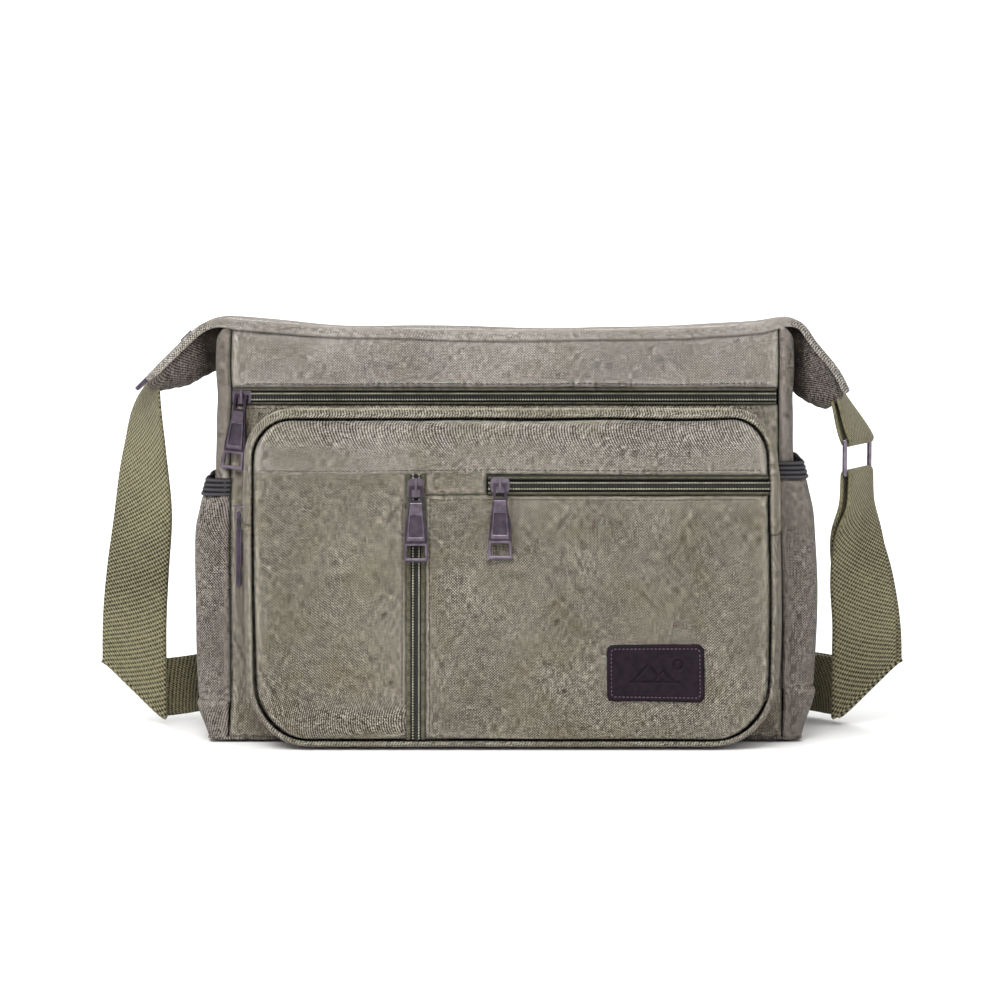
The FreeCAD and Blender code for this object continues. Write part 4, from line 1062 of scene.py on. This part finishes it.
def folded_strap(side, stations, plan, until, gap=2.4):
    """Rows from the top of a hanging part, through its fold on the floor, to a place along its run."""
    centre, top = stations[0][1], stations[-1][0]
    fold_z = SINK + side * ACROSS * (1 - 0.09 * np.abs(ACROSS / ACROSS[-1]) ** 6)
    rows = [drop_rows(stations, ACROSS, fold_z + (top - fold_z) * share)
            for share in 1 - np.linspace(0, 1, 46) ** 1.15]
    edge = drop_rows(stations, ACROSS, fold_z)
    for angle in np.linspace(0, math.pi, 7)[1:-1]:
        reach = gap / 2 * math.sin(angle)
        back = gap / 2 * (1 - math.cos(angle))
        rows.append(edge + np.array([side * reach * 0.7, back, -reach * 0.7]))
    curve = smooth_path(plan, 2.0)
    run = lengths_along(curve)
    start = np.abs(centre + ACROSS - plan[0][0])
    stop = np.interp(-side * until, -side * curve[:, 0], run)
    for share in np.linspace(0, 1, max(20, int(abs(stop) / 5))):
        x, y = at_lengths(start + (stop - start) * share, run, curve).T
        rows.append(np.stack([x, y, fold_z], axis=-1))
    return np.array(rows)


def strap_piece(name, grid, length_from=0.0):
    """A woven strap from rows of points, and its length."""
    u, v = grid_lengths(grid)
    across = (v / np.maximum(v[:, -1:], 1e-6) - 0.5) * STRAP_WIDE
    uvs = np.stack([across, u.mean(axis=1, keepdims=True) + length_from + 0 * v], -1).reshape(-1, 2)
    obj = make_object(name, grid.reshape(-1, 3), grid_faces(*grid.shape[:2]), WEBBING, uvs=uvs)
    thicken(obj, STRAP_THICK, 0)
    return obj, float(u.mean(axis=1)[-1])


def declare(piece, long, held, rests_on, *nodes):
    """Says which CAD nodes a length of strap stands for, by hiding them; its length and how it lies are not
    used.
    """
    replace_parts(piece, *nodes)


def left_strap():
    """From the left ear down to the floor, folded there, and along behind the bag."""
    piece, long = strap_piece("strap_long", folded_strap(-1, LEFT_DROP, LEFT_RUN, RUN_END))
    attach(piece, "root")
    declare(piece, long, "hung", "ear_left_cloth", "strap_left_drop", "strap_left_fold", "strap_back_run")
    return long


def right_strap(length_from):
    """From behind the bag up to the ring, round its bar, back down and along behind the bag."""
    inner = folded_strap(1, RIGHT_DROP, RIGHT_RUN, RUN_END, gap=2.2)
    outer = folded_strap(1, RETURN_DROP, RETURN_RUN, RETURN_END, gap=2.2)
    bend = []
    for angle in np.linspace(0, math.pi, 11)[1:-1]:
        middle = (inner[0] + outer[0]) / 2 + (inner[0] - outer[0]) / 2 * math.cos(angle)
        bend.append(middle + np.array([0, 0, 2.6 * math.sin(angle)]))
    piece, long = strap_piece("strap_short", np.concatenate([inner[::-1], bend, outer]), length_from)
    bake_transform(piece)
    declare(piece, long, "hung", "strap_ring", "strap_right_drop", "strap_right_fold",
            "strap_return_drop", "strap_return_fold", "strap_return_run", "strap_ring_loop")
    return length_from + long


def strap_tail(length_from):
    """The rest of the outer layer, with its end sewn round the adjuster's bar."""
    rows = [np.stack([0 * ACROSS + x, 0 * ACROSS + y, SINK + ACROSS], axis=-1)
            for x, y in smooth_path(TAIL_RUN, 2.5)]
    piece, long = strap_piece("strap_tail", np.stack(rows), length_from)
    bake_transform(piece)
    declare(piece, long, "hung", "tri_glide", "strap_end_loop")


def strap_tab():
    """The doubled tab that holds the ring, twisting a little on its way into the right ear."""
    lean = np.array([-math.sin(TAB_LEAN), 0, math.cos(TAB_LEAN)])

    def tab_row(t, gap, hand):
        turn = math.radians(RING_TURN + TAB_TWIST * float(smooth(t / TAB_LONG)))
        across = np.array([math.cos(turn), math.sin(turn), 0.0])
        return RING_BAR + lean * t + hand * gap * np.cross(across, lean) + ACROSS[:, None] * across
    rows = [tab_row(t, TAB_GAP - TAB_TAPER * t, -1) for t in np.linspace(TAB_LONG, 0, 14)]
    for angle in np.linspace(0, math.pi, 9)[1:-1]:
        rows.append(tab_row(0.0, TAB_GAP * math.cos(angle), -1) - lean * TAB_GAP * math.sin(angle))
    rows += [tab_row(t, TAB_GAP - TAB_TAPER * t, 1) for t in np.linspace(0, TAB_LONG, 14)]
    piece, loop = strap_piece("strap_tab_loop", np.array(rows))
    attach(piece, "root")
    declare(piece, loop, "folded", "strap_ring", "strap_tab")


# ------------------------------------------------------------------ patch, seams and hardware

BADGE_CORNER = 4.2
BADGE_STITCH_INSET = 2.6
BADGE_GRID = (150, 88)
BADGE_BACK = 1.2
PEAKS = ((-4, 9), (5, 6))
GROUND_Z, GROUND_HALF = -5.6, 15
DISC_X, DISC_Z, DISC_RADIUS = 13.5, 4.5, 2.6
FAR = 9


def pressed_mark(x, z):
    """Depth of the badge's pressed mark: two peaks over a ground line, and a disc."""
    lines = [np.where(np.abs(x - peak) < half, np.abs((z + 5) - (half - np.abs(x - peak)) * 1.05), FAR)
             for peak, half in PEAKS]
    lines.append(np.where(np.abs(x) < GROUND_HALF, np.abs(z - GROUND_Z), FAR))
    lines.append(np.abs(np.hypot(x - DISC_X, z - DISC_Z) - DISC_RADIUS))
    return 0.75 * np.exp(-((np.minimum.reduce(lines) / 0.75) ** 4))


def leather_patch():
    """A rounded leather badge with a pressed border, a pressed mark and its stitching."""
    low, high = box_mm("leather_patch")
    middle, half = (low + high) / 2, (high - low) / 2
    x, z = np.meshgrid(*(np.linspace(-1, 1, n) * size for n, size in zip(BADGE_GRID, (half[0], half[2]))),
                       indexing="ij")

    def past_corner(x, z):
        return [np.maximum(np.abs(v) - size + BADGE_CORNER, 0) for v, size in ((x, half[0]), (z, half[2]))]
    over_x, over_z = past_corner(x, z)
    reach = np.hypot(over_x, over_z)
    pull = np.where(reach > BADGE_CORNER, BADGE_CORNER / np.maximum(reach, 1e-6), 1.0)
    x = np.sign(x) * (np.minimum(np.abs(x), half[0] - BADGE_CORNER) + over_x * pull)
    z = np.sign(z) * (np.minimum(np.abs(z), half[2] - BADGE_CORNER) + over_z * pull)
    reach = np.hypot(*past_corner(x, z))
    edge = np.minimum(half[0] - np.abs(x), half[2] - np.abs(z))
    edge = np.where(reach > 0, BADGE_CORNER - reach, np.minimum(BADGE_CORNER - reach, edge))
    rise = 1.6 * smooth(edge / 1.1 + 0.12)
    rise -= 0.3 * np.exp(-(((edge - BADGE_STITCH_INSET) / 0.55) ** 2))
    rise -= pressed_mark(x, z)
    world_z = middle[2] + z
    p = np.stack([middle[0] + x, face_y(world_z) - BADGE_BACK, world_z], axis=-1)
    p = sag(p + FACE_OUT * rise[..., None])
    obj = make_object("leather_badge", p.reshape(-1, 3), grid_faces(*BADGE_GRID), LEATHER)
    thicken(obj, 1.0, -1)
    settle(obj)
    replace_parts(obj, "leather_patch")
    badge_stitches(middle, half)


def badge_stitches(middle, half):
    """Thread all round the badge, along its pressed border."""
    radius = BADGE_CORNER - 2.0
    a, b = half[0] - BADGE_STITCH_INSET - radius, half[2] - BADGE_STITCH_INSET - radius
    loop = []
    for cx, cz, first in ((a, b, 0), (-a, b, 90), (-a, -b, 180), (a, -b, 270)):
        for angle in np.radians(np.linspace(first, first + 90, 6)):
            loop.append((middle[0] + cx + radius * math.cos(angle),
                         middle[2] + cz + radius * math.sin(angle)))
    loop.append(loop[0])
    points = np.array([(x, face_y(z) - BADGE_BACK, z) for x, z in loop]) + FACE_OUT * 1.45
    piece = stitch_line("badge_thread", sag(points), every(len(points), FACE_OUT), LEATHER_THREAD,
                        pitch=2.3, long=1.5, wide=0.7, tall=0.6)


def face_stitch(name, xs, zs, forward):
    """A row of stitches on the pocket's face."""
    points = np.stack([xs, face_y(zs) - forward, zs], axis=1)
    stitch_line(name, sag(points), every(len(points), FACE_OUT), SEAM_THREAD)


def stitches():
    """Seam stitching on the face, round its rim, and beside the zips of the body."""
    xs = np.linspace(BOX_LEFT + 9, BOX_RIGHT - 9, 80)
    face_stitch("yoke_thread", xs, 0 * xs + YOKE_Z + 3.0, forward=2.1)
    zs = np.linspace(9, 143, 50)
    for word, hand in (("right", 1), ("left", -1)):
        xs = 0 * zs + UPRIGHT_ZIP_X + hand * SLOT + hand * 3.0
        face_stitch(f"{word}_panel_thread", xs, zs, forward=0.6)
    xs = np.linspace(-44, BOX_RIGHT - 10, 60)
    face_stitch("flat_zip_thread", xs, 0 * xs + FLAT_ZIP_Z - SLOT - 2.8, forward=0.6)
    rim = ring_place(ring_steps(0.0, 8.0), 4.4, 1.0, 1.9)
    stitch_line("rim_thread", sag(rim, 0.8), every(len(rim), (0.0, -1.0, 0.1)), SEAM_THREAD,
                pitch=2.9, long=1.7, wide=0.6)
    xs = np.linspace(-150, 150, 80)
    for side, word in BOTH_FACES:
        for z, hand in ((ZIP_Z + SLOT + 2.6, "upper"), (ZIP_Z - SLOT - 2.0, "lower")):
            points = np.stack([xs, 0 * xs - side * body_y(z) + side * 0.5, 0 * xs + z], axis=1)
            stitch_line(f"{word}_{hand}_thread", sag(points), every(len(xs), (0.0, side, 0.08)), SEAM_THREAD)


def plate(name, verts, faces, material):
    """A small closed metal plate with its faces turned outwards."""
    obj = make_object(name, verts, faces, material, smooth_faces=False)
    mesh = bmesh.new()
    mesh.from_mesh(obj.data)
    bmesh.ops.recalc_face_normals(mesh, faces=mesh.faces)
    mesh.to_mesh(obj.data)
    mesh.free()
    return obj


def framed_plate(name, outer, inner, place, rise, material):
    """A raised frame: outer and inner are four (across, along) corners, place gives their points."""
    verts = [place(a, b, 0.0) for a, b in outer] + [place(a, b, rise) for a, b in outer]
    verts += [place(a, b, rise) for a, b in inner] + [place(a, b, 0.0) for a, b in inner]
    faces = []
    for k in range(4):
        m = (k + 1) % 4
        for low in (0, 4, 8):
            faces.append((low + k, low + m, low + 4 + m, low + 4 + k))
        faces.append((12 + k, 12 + m, m, k))
    obj = plate(name, verts, faces, material)
    edge = obj.modifiers.new("edge", "BEVEL")
    edge.width, edge.segments = 0.18 * MM, 2
    return obj


def flat_plate(name, outline, place, rise, material):
    """A thin closed slab over four (across, along) corners."""
    verts = [place(a, b, 0.0) for a, b in outline] + [place(a, b, rise) for a, b in outline]
    faces = [(3, 2, 1, 0), (4, 5, 6, 7)] + [(k, (k + 1) % 4, (k + 1) % 4 + 4, k + 4) for k in range(4)]
    return plate(name, verts, faces, material)


def tapered(near_half, near, far_half, far):
    """Four (across, along) corners, along counted back from the pull's far end."""
    return [(-near_half, near), (near_half, near), (far_half, far), (-far_half, far)]


PANEL_OUTER, PANEL_INNER = tapered(5.2, 11.9, 3.3, 33.6), tapered(4.0, 13.9, 3.2, 26.6)
RIDGE_OUTER, RIDGE_INNER = tapered(6.7, 0.5, 6.5, 10.3), tapered(5.4, 1.9, 5.1, 9.3)
SUNKEN = tapered(3.8, 14.1, 3.0, 26.4)


def pull_details(name, obj):
    """Raised frame and cross ridge in the lighter gunmetal, which is painted highlight, and a dark sunken
    panel, on both faces of a zip pull.
    """
    p = np.empty(len(obj.data.vertices) * 3)
    obj.data.vertices.foreach_get("co", p)
    p = p.reshape(-1, 3) / MM
    centre = (p.max(axis=0) + p.min(axis=0)) / 2
    _, _, (long, wide, thin) = np.linalg.svd(p - p.mean(axis=0))
    along, across, through_it = ((p - centre) @ axis for axis in (long, wide, thin))
    width_at = [np.ptp(across[along * hand > 0.8 * np.abs(along).max()]) for hand in (1, -1)]
    if width_at[0] < width_at[1]:
        long, along = -long, -along
    end = along.max()
    mid = across.max() / 2 + across.min() / 2
    body = next(j["child"] for j in frame["joints"] if name.replace("_zip_pull", "_pull_hinge") == j["name"])
    for face, hand, letter in ((through_it.max(), 1, "a"), (through_it.min(), -1, "b")):
        def place(a, b, rise):
            return centre + wide * (mid + a) + long * (end - b) + thin * (face + hand * (rise - 0.05))
        # Frames and ridges take the lighter gunmetal, which is painted highlight.
        pieces = (framed_plate(f"{name}_frame_{letter}", PANEL_OUTER, PANEL_INNER, place, 0.75, METAL_HIGHLIT),
                  framed_plate(f"{name}_ridge_{letter}", RIDGE_OUTER, RIDGE_INNER, place, 0.5, METAL_HIGHLIT),
                  flat_plate(f"{name}_sunk_{letter}", SUNKEN, place, 0.1, METAL_DARK))
        for piece in pieces:
            settle(piece, body)


def dress(obj, material):
    """Gives a CAD part its only material."""
    obj.data.materials.clear()
    obj.data.materials.append(material)


def hardware():
    """Materials of the CAD parts that are kept, and softer edges on the metal ones."""
    for name, obj in frame["nodes"].items():
        pull = name.endswith("_pull")
        if pull or name.endswith("_slider") or name in ("strap_ring", "tri_glide"):
            # Sliders, ring and adjuster take the lighter gunmetal, which is painted highlight.
            dress(obj, METAL if pull else METAL_HIGHLIT)
            soft_edge = obj.modifiers.new("soft edge", "BEVEL")
            soft_edge.width = 0.22 * MM
            soft_edge.segments = 2
            soft_edge.limit_method = "ANGLE"
            if pull:
                pull_details(name, obj)
        elif name in ("inner_pocket", "pocket_zip_welt"):
            dress(obj, LINING)
        elif name == "base_board":
            dress(obj, BOARD)


# ------------------------------------------------------------------ camera, lights and floor

CAMERA_SPOT = Vector((-0.003, -2.0508, 0.3337))
CAMERA_AIM = Vector((-0.003, -0.060, 0.142))
LENS, SENSOR = 126.3, 36.0
WORLD_LIGHT = 0.72
WHITE = (1.0, 1.0, 1.0, 1.0)
FLOOR_HALF, FLOOR_FRONT = 7.0, -6.0
SWEEP_START, SWEEP_RADIUS, SWEEP_TOP = 2.5, 1.5, 6.0
BAG_MIDDLE = (0, 0, 0.15)


def look(obj, spot, aim):
    """Puts a camera or a light at a spot and turns it to another."""
    obj.location = spot
    obj.rotation_euler = (Vector(aim) - Vector(spot)).to_track_quat("-Z", "Y").to_euler()


def camera():
    """A long lens in front of the bag, a little above it."""
    data = bpy.data.cameras.new("camera")
    data.lens, data.sensor_width, data.clip_end = LENS, SENSOR, 20.0
    obj = add_object("camera", data)
    look(obj, CAMERA_SPOT, CAMERA_AIM)
    bpy.context.scene.camera = obj


def soft_box(name, spot, aim, size, power):
    """A rectangular area light."""
    data = bpy.data.lights.new(name, "AREA")
    data.shape = "RECTANGLE"
    data.size, data.size_y = size
    data.energy = power
    look(add_object(name, data), spot, aim)


def paper_floor():
    """Pale paper on the floor, sweeping up behind the bag."""
    paper = Shade("paper", Roughness=0.9)
    paper.colour(paper.mix(paper.noise(paper.place(), 3.0), (0.9, 0.9, 0.9, 1.0), (0.94, 0.94, 0.94, 1.0)))
    profile = [(FLOOR_FRONT, 0.0), (SWEEP_START, 0.0)]
    for angle in np.linspace(0.1, math.pi / 2, 14):
        profile.append((SWEEP_START + SWEEP_RADIUS * math.sin(angle),
                        SWEEP_RADIUS - SWEEP_RADIUS * math.cos(angle)))
    profile.append((SWEEP_START + SWEEP_RADIUS, SWEEP_TOP))
    corners = [(x, y, z) for y, z in profile for x in (-FLOOR_HALF, FLOOR_HALF)]
    quads = [(2 * k, 2 * k + 1, 2 * k + 3, 2 * k + 2) for k in range(len(profile) - 1)]
    mesh = bpy.data.meshes.new("floor")
    mesh.from_pydata(corners, [], quads)
    mesh.polygons.foreach_set("use_smooth", [True] * len(quads))
    mesh.materials.append(paper.material)
    add_object("floor", mesh)


def studio():
    """White surroundings, four soft lights and the floor."""
    world = bpy.data.worlds.new("studio")
    world.use_nodes = True
    background = world.node_tree.nodes["Background"].inputs
    background["Color"].default_value = WHITE
    background["Strength"].default_value = WORLD_LIGHT
    bpy.context.scene.world = world
    bpy.context.scene.view_settings.view_transform = "Standard"
    paper_floor()
    soft_box("key", (-0.5, -1.1, 1.35), BAG_MIDDLE, (1.3, 0.9), 24.0)
    soft_box("rim", (0.2, 1.4, 1.5), BAG_MIDDLE, (1.6, 0.8), 12.0)
    soft_box("sweep", (0.0, 2.6, 2.4), (0, 4.2, 0.6), (6.0, 1.5), 130.0)
    soft_box("ground", (0.0, -1.2, 3.2), (0, -0.6, 0.0), (4.0, 2.0), 26.0)


camera()
strap_tail(right_strap(left_strap()))
strap_tab()
body_panels()
sides()
base()
top_bands()
ears()
boxed_gusset()
boxed_face()
body_zips()
face_zips()
round_zips()
leather_patch()
stitches()
hardware()
studio()
